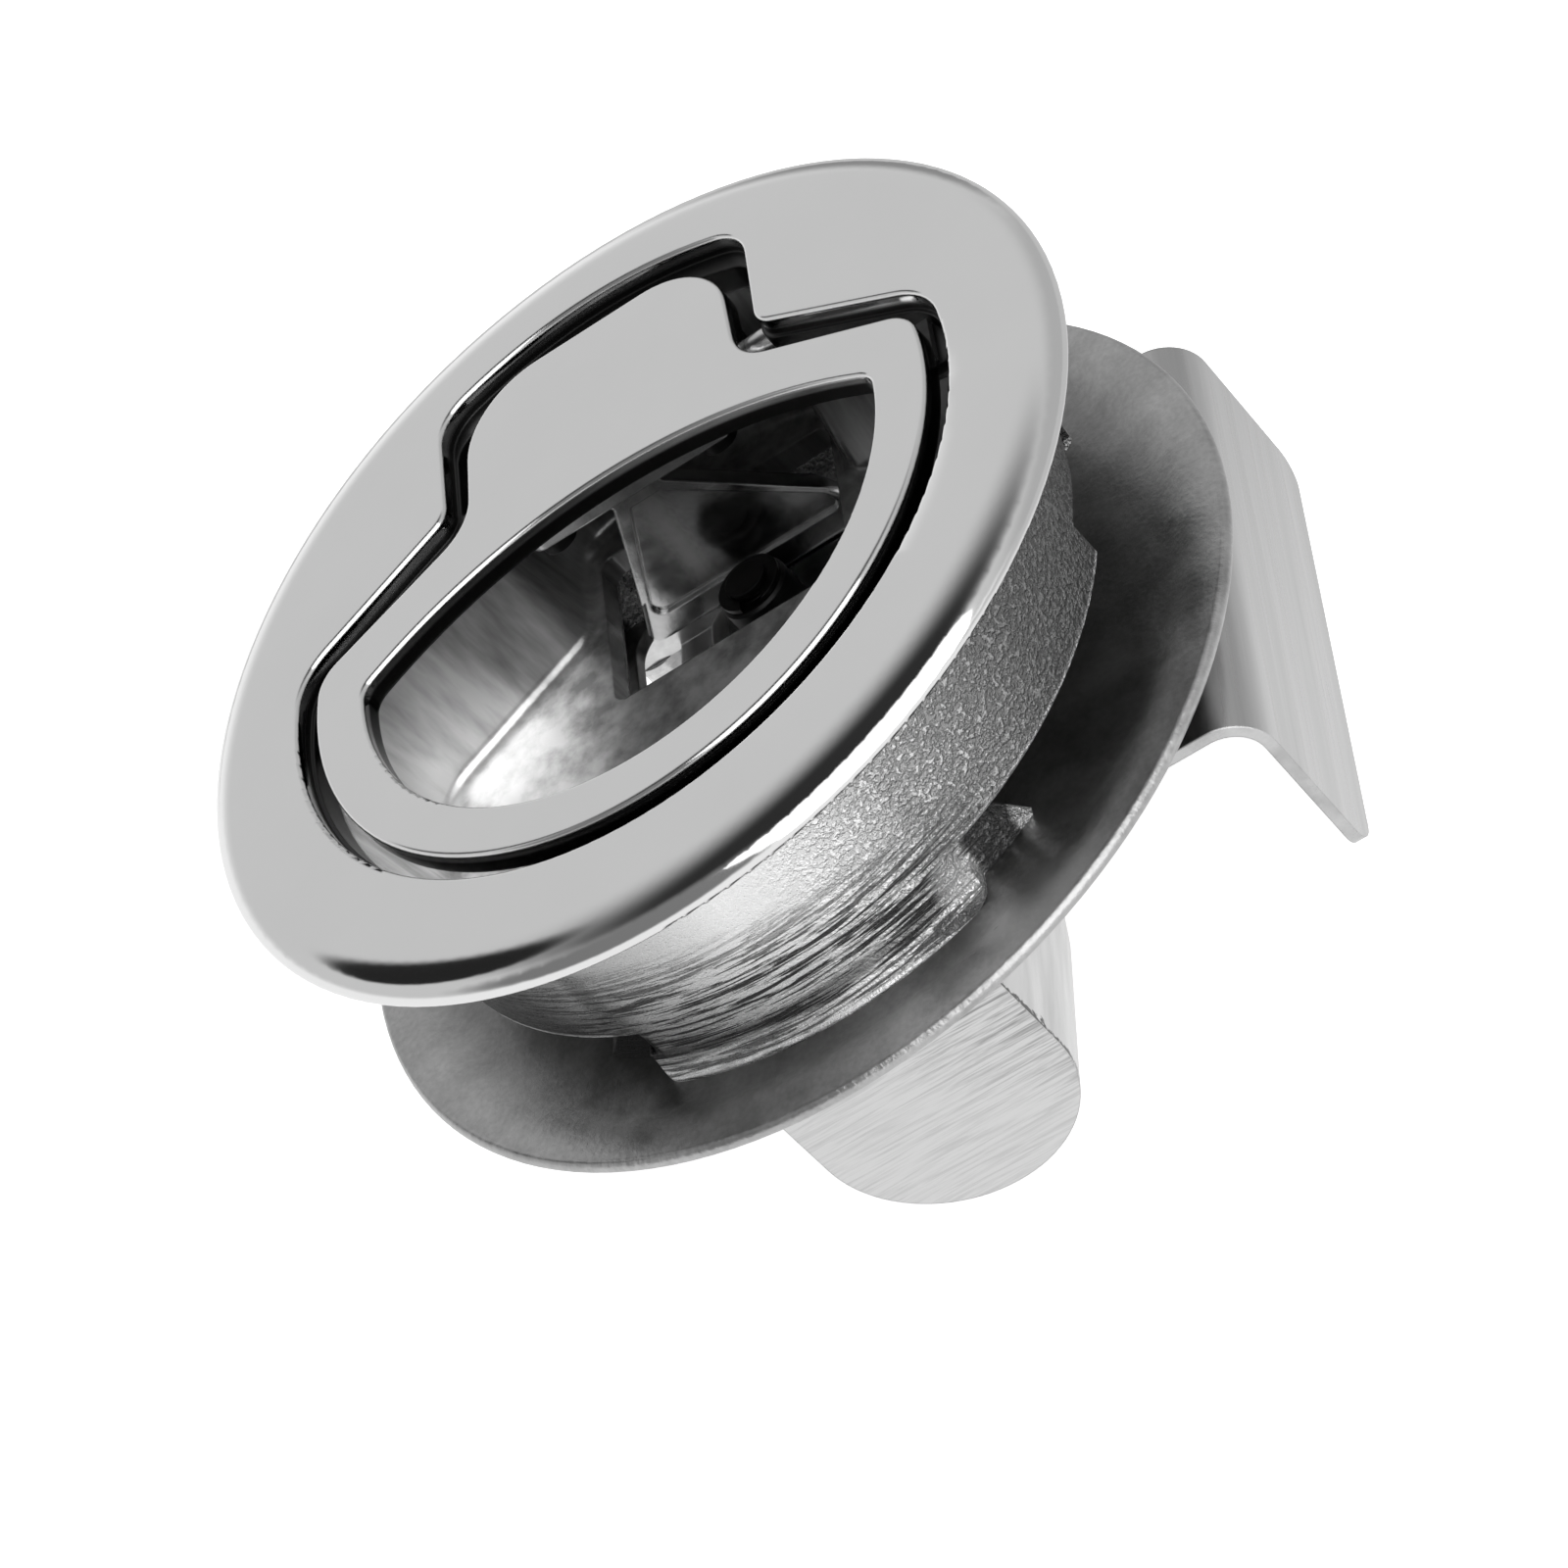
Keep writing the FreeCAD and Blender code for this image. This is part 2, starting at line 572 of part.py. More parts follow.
def handle_lever():
    """Stamped lever: flange under the bridge and a flared blade with a sunk panel."""
    sheet = lever_sheet()
    blade = sheet.common(lever_outline(0))
    flange = box(-LEVER_FLANGE_HALF, LEVER_FLANGE_HALF, LEVER_FLANGE_Y[0], LEVER_FLANGE_Y[1],
                 LEVER_SEAT_Z - LEVER_T, LEVER_SEAT_Z)
    flange = round_corner(flange, 1.4, LEVER_FLANGE_HALF, LEVER_FLANGE_Y[0])
    body = clean(blade.fuse(flange))
    nose = []
    for edge in body.Edges:
        box_of = edge.BoundBox
        along = box_of.YLength < 0.01 and box_of.ZLength < 0.01
        if along and abs(box_of.ZMin - LEVER_TIP_Z) < 0.01:
            nose.append(edge)
    body = body.makeFillet(0.4, nose)
    sheet.translate(vec(0, PANEL_DEPTH - LEVER_T, 0))
    below = box(-CUP_R, CUP_R, 0, CUP_R, LEVER_TIP_Z, LEVER_SEAT_Z - LEVER_T - PANEL_BORDER)
    panel = sheet.common(lever_outline(PANEL_BORDER)).common(below)
    body = clean(body.cut(panel))
    for side in (-1, 1):
        body = body.cut(rod(LEVER_SCREW_R + 0.1, LEVER_SEAT_Z - LEVER_T - 1, LEVER_SEAT_Z + 1,
                            side * LEVER_SCREW_X, screw_row_y()))
    return body


def lever_screws():
    """Two slotted cheese-head screws, heads below the lever's flange."""
    screws = []
    seat_z = LEVER_SEAT_Z - LEVER_T
    for side in (-1, 1):
        x = side * LEVER_SCREW_X
        y = screw_row_y()
        head = rod(LEVER_SCREW_HEAD_R, seat_z - LEVER_SCREW_HEAD_T, seat_z, x, y)
        slot = box(x - 2, x + 2, y - 0.2, y + 0.2,
                   seat_z - LEVER_SCREW_HEAD_T - 1, seat_z - LEVER_SCREW_HEAD_T + 0.5)
        shank = rod(LEVER_SCREW_R, seat_z, LEVER_SEAT_Z + LEVER_SCREW_DEPTH, x, y)
        screws.append(clean(head.cut(slot).fuse(shank)))
    return Part.makeCompound(screws)


def smooth_sweep(points, wire_r):
    """Round wire swept along a smooth curve through the points."""
    curve = Part.BSplineCurve()
    curve.interpolate(points)
    path = Part.Wire([curve.toShape()])
    start = points[0]
    ahead = (points[1] - points[0]).normalize()
    section = Part.Wire([Part.makeCircle(wire_r, start, ahead)])
    return Part.Solid(path.makePipeShell([section], True, False))


def handle_spring():
    """Torsion spring: coil on the hinge pin, one leg under the tab, one on the cup's floor."""
    r = SPRING_MEAN_R
    touch_z = HANDLE_BACK_Z - SPRING_WIRE_R - PIN_FIT
    reach = SPRING_LEG_Y - HINGE_Y
    drop = touch_z - HINGE_Z
    start_deg = math.degrees(math.atan2(drop, reach) - math.acos(r / math.hypot(reach, drop)))
    end_deg = 90 - SPRING_REST_DEG
    turn_deg = start_deg - end_deg + 360 * 5
    length = SPRING_PITCH * turn_deg / 360
    coil = Part.makeHelix(SPRING_PITCH, length, r)
    coil.rotate(vec(0, 0, 0), Y_AXIS, -90)
    coil.rotate(vec(0, 0, 0), X_AXIS, start_deg - 90)
    coil.translate(vec(length / 2, HINGE_Y, HINGE_Z))
    first = coil.Edges[0]
    start = first.valueAt(first.FirstParameter)
    ahead = first.tangentAt(first.FirstParameter)
    section = Part.Wire([Part.makeCircle(SPRING_WIRE_R, start, ahead)])
    wound = Part.Solid(coil.makePipeShell([section], True, True))
    last = vec(-length / 2, HINGE_Y + r * math.cos(math.radians(end_deg)),
               HINGE_Z + r * math.sin(math.radians(end_deg)))
    tip_a = vec(start.x, SPRING_LEG_Y, touch_z)
    down = vec(0, math.cos(math.radians(SPRING_REST_DEG)), -math.sin(math.radians(SPRING_REST_DEG)))
    floor_z = FLOOR_TOP_Z + SPRING_WIRE_R
    tip_b = last + down * ((floor_z - last.z) / down.z)
    wound = wound.fuse(leg(start, tip_a)).fuse(leg(last, tip_b))
    return wound


def leg(a, b):
    """Straight wire between two points with round ends."""
    bar = Part.makeCylinder(SPRING_WIRE_R, (b - a).Length, a, b - a)
    return bar.fuse(Part.makeSphere(SPRING_WIRE_R, a)).fuse(Part.makeSphere(SPRING_WIRE_R, b))


def clamp_plate():
    """Dished disc: flat middle, raised rim with a rounded edge, opening and screw holes."""
    front = PLATE_FRONT_Z
    back = PLATE_BACK_Z
    rim = front + PLATE_RIM_RISE
    low_rim = back + PLATE_RIM_RISE
    middle = (rim + low_rim) / 2
    edge_x = PLATE_R - PLATE_T / 2
    turn = Part.Arc(vec(edge_x, 0, rim), vec(PLATE_R, 0, middle), vec(edge_x, 0, low_rim))
    edges = [line(vec(0, 0, front), vec(PLATE_FLAT_R, 0, front)),
             line(vec(PLATE_FLAT_R, 0, front), vec(PLATE_RIM_FROM_R, 0, rim)),
             line(vec(PLATE_RIM_FROM_R, 0, rim), vec(edge_x, 0, rim)), turn.toShape(),
             line(vec(edge_x, 0, low_rim), vec(PLATE_RIM_FROM_R, 0, low_rim)),
             line(vec(PLATE_RIM_FROM_R, 0, low_rim), vec(PLATE_FLAT_R, 0, back)),
             line(vec(PLATE_FLAT_R, 0, back), vec(0, 0, back)),
             line(vec(0, 0, back), vec(0, 0, front))]
    plate = revolve(edges)
    opening = box(-OPENING_HALF, OPENING_HALF, OPENING_Y[0], OPENING_Y[1], back - 1, front + 1)
    opening = round_corner(opening, OPENING_CORNER_R, OPENING_HALF, OPENING_Y[0])
    opening = round_corner(opening, OPENING_CORNER_R, OPENING_HALF, OPENING_Y[1])
    plate = plate.cut(opening)
    for sx in (-1, 1):
        for sy in (-1, 1):
            plate = plate.cut(rod(SCREW_HOLE_R, back - 1, front + 1, sx * SCREW_X, sy * SCREW_Y))
    return plate


def block_section(y, half):
    """U-shaped section across the block at one station along its length."""
    top = PLATE_BACK_Z
    arc = Part.Arc(vec(half, y, BARREL_Z), vec(0, y, BARREL_Z - half), vec(-half, y, BARREL_Z))
    edges = [line(vec(-half, y, top), vec(half, y, top)),
             line(vec(half, y, top), vec(half, y, BARREL_Z)), arc.toShape(),
             line(vec(-half, y, BARREL_Z), vec(-half, y, top))]
    return Part.Wire(edges)


def ear(side):
    """Flat lug on each side of one block end, carrying two screws."""
    lug = rod(EAR_R, EAR_BACK_Z, PLATE_BACK_Z)
    keep = box(-EAR_HALF, EAR_HALF, END_BLOCK_Y, EAR_R, EAR_BACK_Z, PLATE_BACK_Z)
    lug = lug.common(keep)
    outer_y = math.sqrt(EAR_R * EAR_R - EAR_HALF * EAR_HALF)
    lug = round_corner(lug, 1.0, EAR_HALF, outer_y)
    lug = lug.cut(box(-EAR_HALF, EAR_HALF, BLOCK_HALF_LENGTH, EAR_R + 1, EAR_BACK_Z, PLATE_BACK_Z))
    if side < 0:
        lug = lug.mirror(vec(0, 0, 0), Y_AXIS)
    return lug


def rear_housing():
    """Drafted U block along Y with the plunger's bore, the post's slot and four lugs."""
    stations = [(-BLOCK_HALF_LENGTH, BLOCK_END_HALF), (-BLOCK_MID_Y, BLOCK_MID_HALF),
                (BLOCK_MID_Y, BLOCK_MID_HALF), (BLOCK_HALF_LENGTH, BLOCK_END_HALF)]
    body = Part.makeLoft([block_section(y, half) for y, half in stations], True, True)
    pocket = box(-EAR_R, EAR_R, -END_BLOCK_Y, END_BLOCK_Y, HOUSING_FRONT_Z, PLATE_BACK_Z + 1)
    body = body.cut(pocket)
    for side in (-1, 1):
        body = body.fuse(ear(side))
    body = clean(body)
    body = body.cut(rod_y(BORE_R, -BLOCK_HALF_LENGTH + BORE_END_WALL, BLOCK_HALF_LENGTH + 1,
                          0, BARREL_Z))
    slot_top = POST_Y + POST_SLOT_HALF
    slot_low = POST_END_Y - POST_SLOT_HALF
    slot = box(-POST_SLOT_HALF, POST_SLOT_HALF, slot_low, slot_top, BARREL_Z, HOUSING_FRONT_Z + 1)
    slot = round_corner(slot, POST_SLOT_HALF - 0.2, POST_SLOT_HALF, slot_top)
    slot = round_corner(slot, POST_SLOT_HALF - 0.2, POST_SLOT_HALF, slot_low)
    body = body.cut(slot)
    for y in GUIDE_YS:
        body = body.cut(rod(GUIDE_R + PIN_FIT, HOUSING_FRONT_Z - GUIDE_DEPTH, HOUSING_FRONT_Z + 1,
                            GUIDE_X, y))
    for sx in (-1, 1):
        for sy in (-1, 1):
            body = body.cut(rod(SCREW_HOLE_R, EAR_BACK_Z - 1, PLATE_BACK_Z + 1,
                                sx * SCREW_X, sy * SCREW_Y))
    return body


def guide_pins():
    pins = []
    for y in GUIDE_YS:
        pins.append(rod(GUIDE_R, HOUSING_FRONT_Z - GUIDE_DEPTH, PLATE_BACK_Z - 0.1, GUIDE_X, y))
    return Part.makeCompound(pins)


def housing_screws():
    """Four socket screws driven from the rear into the cup's feet."""
    screws = []
    seat_z = EAR_BACK_Z - WASHER_T
    for sx in (-1, 1):
        for sy in (-1, 1):
            x = sx * SCREW_X
            y = sy * SCREW_Y
            head = rod(SCREW_HEAD_R, seat_z - SCREW_HEAD_T, seat_z, x, y)
            rim = [e for e in head.Edges if e.Closed and e.BoundBox.ZMax < seat_z - 0.5]
            head = head.makeFillet(0.25, rim)
            corners = []
            for k in range(6):
                turn = math.radians(60 * k)
                corners.append(vec(x + SCREW_SOCKET_R * math.cos(turn),
                                   y + SCREW_SOCKET_R * math.sin(turn)))
            socket = prism(corners, seat_z - SCREW_HEAD_T - 1, seat_z - SCREW_HEAD_T / 2)
            shank = rod(SCREW_R, seat_z, SCREW_TOP_Z, x, y)
            screws.append(clean(head.cut(socket).fuse(shank)))
    return Part.makeCompound(screws)


def lock_washers():
    """Split spring washers below the screw heads."""
    rings = []
    for sx in (-1, 1):
        for sy in (-1, 1):
            x = sx * SCREW_X
            y = sy * SCREW_Y
            ring = rod(WASHER_R, EAR_BACK_Z - WASHER_T, EAR_BACK_Z, x, y)
            ring = ring.cut(rod(SCREW_R + 0.08, EAR_BACK_Z - 1, EAR_BACK_Z + 1, x, y))
            ring = ring.cut(box(x - 0.15, x + 0.15, y, y + WASHER_R + 1,
                                EAR_BACK_Z - 1, EAR_BACK_Z + 1))
            rings.append(ring)
    return Part.makeCompound(rings)


def slot_through(x0, y0, x1, y1, half, z0, z1):
    """Straight slot with round ends between two centres."""
    along = math.hypot(x1 - x0, y1 - y0)
    bar = box(0, along, -half, half, z0, z1)
    bar.rotate(vec(0, 0, 0), Z_AXIS, math.degrees(math.atan2(y1 - y0, x1 - x0)))
    bar.translate(vec(x0, y0, 0))
    return bar.fuse(rod(half, z0, z1, x0, y0)).fuse(rod(half, z0, z1, x1, y1))


def tongue():
    """Bent sheet: slotted slide behind the plate and the leg that catches the frame."""
    front = TONGUE_FRONT_Z
    back = TONGUE_FRONT_Z - TONGUE_T
    centre = vec(TONGUE_NOSE_X - TONGUE_BEND_R, 0, front - TONGUE_BEND_R)
    inner = TONGUE_BEND_R - TONGUE_T
    diagonal = vec(math.sin(math.pi / 4), 0, math.cos(math.pi / 4))
    outer_arc = Part.Arc(centre + vec(0, 0, TONGUE_BEND_R), centre + diagonal * TONGUE_BEND_R,
                         centre + vec(TONGUE_BEND_R, 0, 0))
    inner_arc = Part.Arc(centre + vec(inner, 0, 0), centre + diagonal * inner,
                         centre + vec(0, 0, inner))
    tail_front = vec(TONGUE_TAIL_X, 0, front)
    tail_back = vec(TONGUE_TAIL_X, 0, back)
    end_outer = vec(TONGUE_NOSE_X, 0, TONGUE_END_Z)
    end_inner = vec(TONGUE_NOSE_X - TONGUE_T, 0, TONGUE_END_Z)
    edges = [line(tail_front, centre + vec(0, 0, TONGUE_BEND_R)), outer_arc.toShape(),
             line(centre + vec(TONGUE_BEND_R, 0, 0), end_outer), line(end_outer, end_inner),
             line(end_inner, centre + vec(inner, 0, 0)), inner_arc.toShape(),
             line(centre + vec(0, 0, inner), tail_back), line(tail_back, tail_front)]
    body = Part.Face(Part.Wire(edges)).extrude(vec(TONGUE_SKEW, 2 * TONGUE_HALF, 0))
    body.translate(vec(0, -TONGUE_HALF, 0))
    corners = []
    for edge in body.Edges:
        box_of = edge.BoundBox
        across = box_of.YLength < 0.01 and box_of.ZLength < 0.01
        if across and abs(box_of.ZMin - TONGUE_END_Z) < 0.01:
            corners.append(edge)
    body = body.makeFillet(TONGUE_CORNER_R, corners)
    tails = []
    for edge in body.Edges:
        if is_upright(edge) and edge.BoundBox.XMin < TONGUE_TAIL_X + TONGUE_SKEW + 0.1:
            tails.append(edge)
    body = body.makeFillet(1.5, tails)
    cam = slot_through(0, POST_Y, TONGUE_DRAW, POST_END_Y, ROLLER_R + SLOT_FIT,
                       back - 1, front + 1)
    body = body.cut(cam)
    for y in GUIDE_YS:
        body = body.cut(slot_through(GUIDE_X, y, GUIDE_X + TONGUE_DRAW, y, GUIDE_R + SLOT_FIT,
                                     back - 1, front + 1))
    return body


def plunger():
    """Piston in the barrel, pilot for its spring and a hole for the post."""
    body = rod_y(PLUNGER_R, PLUNGER_Y[0], PLUNGER_Y[1], 0, BARREL_Z)
    body = body.makeChamfer(0.5, [e for e in body.Edges if e.Closed])
    pilot = rod_y(PLUNGER_PILOT_R, PLUNGER_Y[0] - PLUNGER_PILOT_L, PLUNGER_Y[0], 0, BARREL_Z)
    body = clean(body.fuse(pilot))
    top_z = BARREL_Z + PLUNGER_R
    return body.cut(rod(POST_R + 0.01, top_z - POST_DEPTH, top_z + 1, 0, POST_Y))


def roller_levels():
    """Heights of the two rollers and the clip along the post."""
    low = HOUSING_FRONT_Z + 0.15
    mid = TONGUE_FRONT_Z + 0.3
    top = POST_TOP_Z - 2 * CLIP_T
    return low, mid, top


def drive_post():
    """Dowel pressed in the plunger, grooved for its clip, with a washer-like shoulder."""
    bottom = BARREL_Z + PLUNGER_R - POST_DEPTH
    low, mid, top = roller_levels()
    body = rod(POST_R, bottom, POST_TOP_Z, 0, POST_Y)
    shoulder = rod(POST_SLOT_HALF - 0.2, BARREL_Z + PLUNGER_R, low - 0.05, 0, POST_Y)
    body = clean(body.fuse(shoulder))
    groove = rod(POST_R + 1, top, top + CLIP_T, 0, POST_Y)
    groove = groove.cut(rod(CLIP_GROOVE_R, top, top + CLIP_T, 0, POST_Y))
    return body.cut(groove)


def roller(z0, z1):
    sleeve = rod(ROLLER_R, z0, z1, 0, POST_Y)
    sleeve = sleeve.makeChamfer(0.2, [e for e in sleeve.Edges if e.Closed])
    return sleeve.cut(rod(POST_R + ROLLER_FIT, z0 - 1, z1 + 1, 0, POST_Y))


def slot_roller():
    low, mid, top = roller_levels()
    return roller(low, mid - 0.05)


def lever_roller():
    low, mid, top = roller_levels()
    return roller(mid + 0.05, top - 0.05)


def post_clip():
    """Open ring snapped in the post's groove."""
    low, mid, top = roller_levels()
    z0 = top + 0.02
    z1 = top + CLIP_T - 0.02
    ring = rod(CLIP_R, z0, z1, 0, POST_Y)
    ring = ring.cut(rod(CLIP_GROOVE_R + 0.03, z0 - 1, z1 + 1, 0, POST_Y))
    mouth = box(-0.8, 0.8, POST_Y - CLIP_R - 1, POST_Y, z0 - 1, z1 + 1)
    return ring.cut(mouth)


def plunger_spring():
    """Compression spring with closed ends between the barrel's end and the plunger."""
    start = -BLOCK_HALF_LENGTH + BORE_END_WALL + COIL_WIRE_R + 0.01
    stop = PLUNGER_Y[0] - COIL_WIRE_R - 0.01
    closed = 2 * COIL_WIRE_R + 0.08
    points = []
    steps = COIL_TURNS * 14
    free = stop - start - 2 * closed
    for i in range(steps + 1):
        turns = COIL_TURNS * i / steps
        if turns <= 1:
            along = closed * turns
        elif turns >= COIL_TURNS - 1:
            along = closed + free + closed * (turns - COIL_TURNS + 1)
        else:
            share = (turns - 1) / (COIL_TURNS - 2)
            eased = share + 0.02 * math.sin(2 * math.pi * share - math.pi)
            along = closed + free * eased
        angle = 2 * math.pi * turns
        points.append(vec(COIL_MEAN_R * math.cos(angle), start + along,
                          BARREL_Z + COIL_MEAN_R * math.sin(angle)))
    return smooth_sweep(points, COIL_WIRE_R)


def barrel_plug():
    """Slotted plug that closes the barrel and stops the plunger."""
    inner = PLUNGER_Y[1] + PLUG_GAP
    plug = rod_y(BORE_R - THREAD_FIT, inner, BLOCK_HALF_LENGTH - 0.2, 0, BARREL_Z)
    plug = plug.makeChamfer(0.4, [e for e in plug.Edges if e.Closed])
    slot = box(-BORE_R, BORE_R, BLOCK_HALF_LENGTH - PLUG_SLOT_DEPTH, BLOCK_HALF_LENGTH + 1,
               BARREL_Z - PLUG_SLOT_HALF, BARREL_Z + PLUG_SLOT_HALF)
    return plug.cut(slot)


NODES = {
    "flange_cup": flange_cup,
    "lift_handle": lift_handle,
    "hinge_pin": hinge_pin,
    "handle_lever": handle_lever,
    "lever_screws": lever_screws,
    "handle_spring": handle_spring,
    "handle_bumpers": handle_bumpers,
    "clamp_plate": clamp_plate,
    "rear_housing": rear_housing,
    "housing_screws": housing_screws,
    "lock_washers": lock_washers,
    "guide_pins": guide_pins,
    "tongue": tongue,
    "plunger": plunger,
    "plunger_spring": plunger_spring,
    "barrel_plug": barrel_plug,
    "drive_post": drive_post,
    "slot_roller": slot_roller,
    "lever_roller": lever_roller,
    "post_clip": post_clip,
}


def main():
    os.makedirs("parts", exist_ok=True)
    for name, make in NODES.items():
        shape = make()
        shape.exportStep("parts/" + name + ".step")
        print(name, shape.isValid(), len(shape.Solids), round(shape.Volume, 1))


main()
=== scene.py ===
import math

import bpy
from mathutils import Euler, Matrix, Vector


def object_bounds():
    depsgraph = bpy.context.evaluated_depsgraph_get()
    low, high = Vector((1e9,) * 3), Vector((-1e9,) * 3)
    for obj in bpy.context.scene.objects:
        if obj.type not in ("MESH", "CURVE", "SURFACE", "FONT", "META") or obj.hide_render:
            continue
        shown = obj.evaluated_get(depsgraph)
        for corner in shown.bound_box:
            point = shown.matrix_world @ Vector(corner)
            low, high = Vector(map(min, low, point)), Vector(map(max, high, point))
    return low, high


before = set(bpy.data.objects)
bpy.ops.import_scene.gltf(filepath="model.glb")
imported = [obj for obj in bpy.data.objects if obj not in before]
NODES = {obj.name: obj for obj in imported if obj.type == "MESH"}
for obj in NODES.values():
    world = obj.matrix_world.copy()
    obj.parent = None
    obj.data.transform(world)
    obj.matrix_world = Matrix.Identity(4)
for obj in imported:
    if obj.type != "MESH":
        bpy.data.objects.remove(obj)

bl_info = {
    "name": "Flush lift-handle latch",
    "version": (1, 0, 0),
    "blender": (4, 5, 0),
    "location": "3D View > Sidebar > Latch",
    "description": "Dresses a flush latch in polished, cast and ground steel",
    "category": "Object",
}

MM = 0.001

# Photo's camera, in millimetres and degrees, in the part's frame
CAMERA_PLACE = (99.165, -230.686, 162.259)
CAMERA_TURN = (44.2587, 35.0298, -6.6496)
CAMERA_LENS = 112.98

# Rest box of the CAD, before anything is added
CAD_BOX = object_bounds()

# Where the finishes and the painted shade and highlights change, in the part's millimetres: each
# pair is a fade's start and end
CUP_RADIUS = 25.4
HALF_ROUND = 79.8
CUP_SKIN_R = (24.7, 24.9)
LIP_R = (25.1, 25.3)
RECESS_R = (27.4, 27.0)
BELOW_FLANGE_Z = (-0.05, -0.25)
BELOW_EDGE_Z = (1.25, 0.70)
RECESS_END_Z = (-1.6, -1.2)
CAVITY_Z = (-0.9, -1.5)
FOOT_TOP_Z = (-13.3, -13.6)
BEHIND_CUP_Z = (-13.1, -13.3)
FOOT_END_X = (11.5, 12.0)
LEFT_END_X = (-10.4, -10.8)
BARREL_END_Y = (-23.85, -23.95)
PLATE_EDGE_R = (31.9, 32.3)

# Share of the cast grey round the cup, from one end of its back to the other: painted shade and
# painted highlight
WALL_PAINTED_BRIGHTEST = 1.45
WALL_PAINTED_LIGHT = ((0.0, 0.45), (0.14, 0.40), (0.31, 0.08), (0.39, 0.14), (0.47, 1.0),
              (0.50, WALL_PAINTED_BRIGHTEST), (0.565, 1.35), (0.65, 0.48), (0.78, 0.16),
              (0.90, 0.40), (1.0, 0.45))

# Lamps' radiance, and the light that reaches dull surfaces from all round
FRONT_RADIANCE = 1.5
KEY_RADIANCE = 1.8
FILL_LEVEL = 0.55
FLOOR_GLOW = 0.75


def sized(text, value, about, low=0.0, high=1.0):
    """A length in millimetres that the user can change."""
    return bpy.props.FloatProperty(name=text, description=about, default=value,
                                   soft_min=low, soft_max=high)


def colour(text, value, about):
    return bpy.props.FloatVectorProperty(name=text, description=about, default=value,
                                         subtype="COLOR", size=4, min=0.0, max=1.0)


class LatchFinish(bpy.types.PropertyGroup):
    polished: colour("Polished steel", (0.80, 0.80, 0.80, 1), "Mirror-polished flange and handle")
    # Painted shade for the recess and the handle's sides
    recess: colour("Painted shade in the recess", (0.05, 0.05, 0.05, 1),
                   "Recess floor and sides below the edges")
    inside: colour("Inside of the cup", (0.80, 0.80, 0.80, 1), "Satin cavity walls and floor")
    cast: colour("Cast steel", (0.66, 0.66, 0.66, 1), "Pitted outside of the cup")
    # Painted shade of the plate near the cup
    plate_inner_shade: colour("Plate inside, painted shade", (0.23, 0.23, 0.23, 1), "Clamp plate near the cup")
    plate_outer: colour("Plate rim", (0.46, 0.46, 0.46, 1), "Clamp plate near its edge")
    satin: colour("Satin steel", (0.60, 0.60, 0.60, 1), "Barrel's flanks")
    ground: colour("Ground steel", (0.66, 0.66, 0.66, 1), "Barrel's flat end")
    sheet: colour("Sheet steel", (0.56, 0.56, 0.56, 1), "Tongue")
    lever: colour("Lever steel", (0.5, 0.5, 0.5, 1), "Stamped lever")
    oxide: colour("Black oxide", (0.02, 0.02, 0.02, 1), "Post, rollers, clip and small screws")
    rubber: colour("Rubber", (0.02, 0.02, 0.02, 1), "Pads below the handle")
    gloss: sized("Polish roughness", 0.07, "Roughness of the mirror polish")
    edge: sized("Edge break", 0.22, "Width of the worn edges in millimetres", 0, 1)


class LatchStage(bpy.types.PropertyGroup):
    floor_drop: sized("Floor drop", 0.5, "Gap between the part's lowest point and the floor", 0, 20)
    floor_size: sized("Floor size", 4000.0, "Width of the floor", 500, 9000)
    floor_far: sized("Far floor", 0.6, "Grey of the floor behind the part, as the metal shows it")
    sky_back: sized("Back wall", 0.66, "Grey of the studio behind the part")
    sky_top: sized("Ceiling", 0.03, "Grey of the studio's ceiling")
    sky_near: sized("Camera side", 0.22, "Grey of the studio around the camera")
    sky_right: sized("Right wall", 0.5, "Grey of the studio to the right")
    sky_card: sized("Dark card", 0.02, "Grey of the dark card at the left")


# Node helpers

def new_material(name):
    material = bpy.data.materials.new(name)
    material.use_nodes = True
    tree = material.node_tree
    tree.nodes.clear()
    out = tree.nodes.new("ShaderNodeOutputMaterial")
    shader = tree.nodes.new("ShaderNodeBsdfPrincipled")
    tree.links.new(shader.outputs["BSDF"], out.inputs["Surface"])
    return material, tree, shader


def feed(tree, value, socket):
    """Links a socket to another, or sets it where the value is a number."""
    if isinstance(value, bpy.types.NodeSocket):
        tree.links.new(value, socket)
    else:
        socket.default_value = value


def node(tree, kind, **values):
    made = tree.nodes.new(kind)
    for key, value in values.items():
        if key in made.inputs:
            made.inputs[key].default_value = value
        else:
            setattr(made, key, value)
    return made


def calc(tree, operation, *values):
    made = node(tree, "ShaderNodeMath", operation=operation)
    for socket, value in zip(made.inputs, values):
        feed(tree, value, socket)
    return made.outputs[0]


def times(tree, first, *others):
    for other in others:
        first = calc(tree, "MULTIPLY", first, other)
    return first


def plus(tree, first, *others):
    for other in others:
        first = calc(tree, "ADD", first, other)
    return first


def without(tree, share):
    """1 less a share."""
    return calc(tree, "SUBTRACT", 1.0, share)


def step(tree, value, low, high):
    """0 below low, 1 above high and an S-curve between them."""
    made = node(tree, "ShaderNodeMapRange", interpolation_type="SMOOTHSTEP")
    for socket, number in zip(made.inputs, (value, low, high, 0.0, 1.0)):
        feed(tree, number, socket)
    return made.outputs["Result"]


def spread(tree, value, low, high, to_low, to_high):
    made = node(tree, "ShaderNodeMapRange")
    for socket, number in zip(made.inputs, (value, low, high, to_low, to_high)):
        feed(tree, number, socket)
    return made.outputs["Result"]


def tint(tree, value, low, high):
    """Colour between two others by a value from 0 to 1."""
    made = node(tree, "ShaderNodeMix", data_type="RGBA")
    feed(tree, value, made.inputs[0])
    feed(tree, low, made.inputs[6])
    feed(tree, high, made.inputs[7])
    return made.outputs[2]


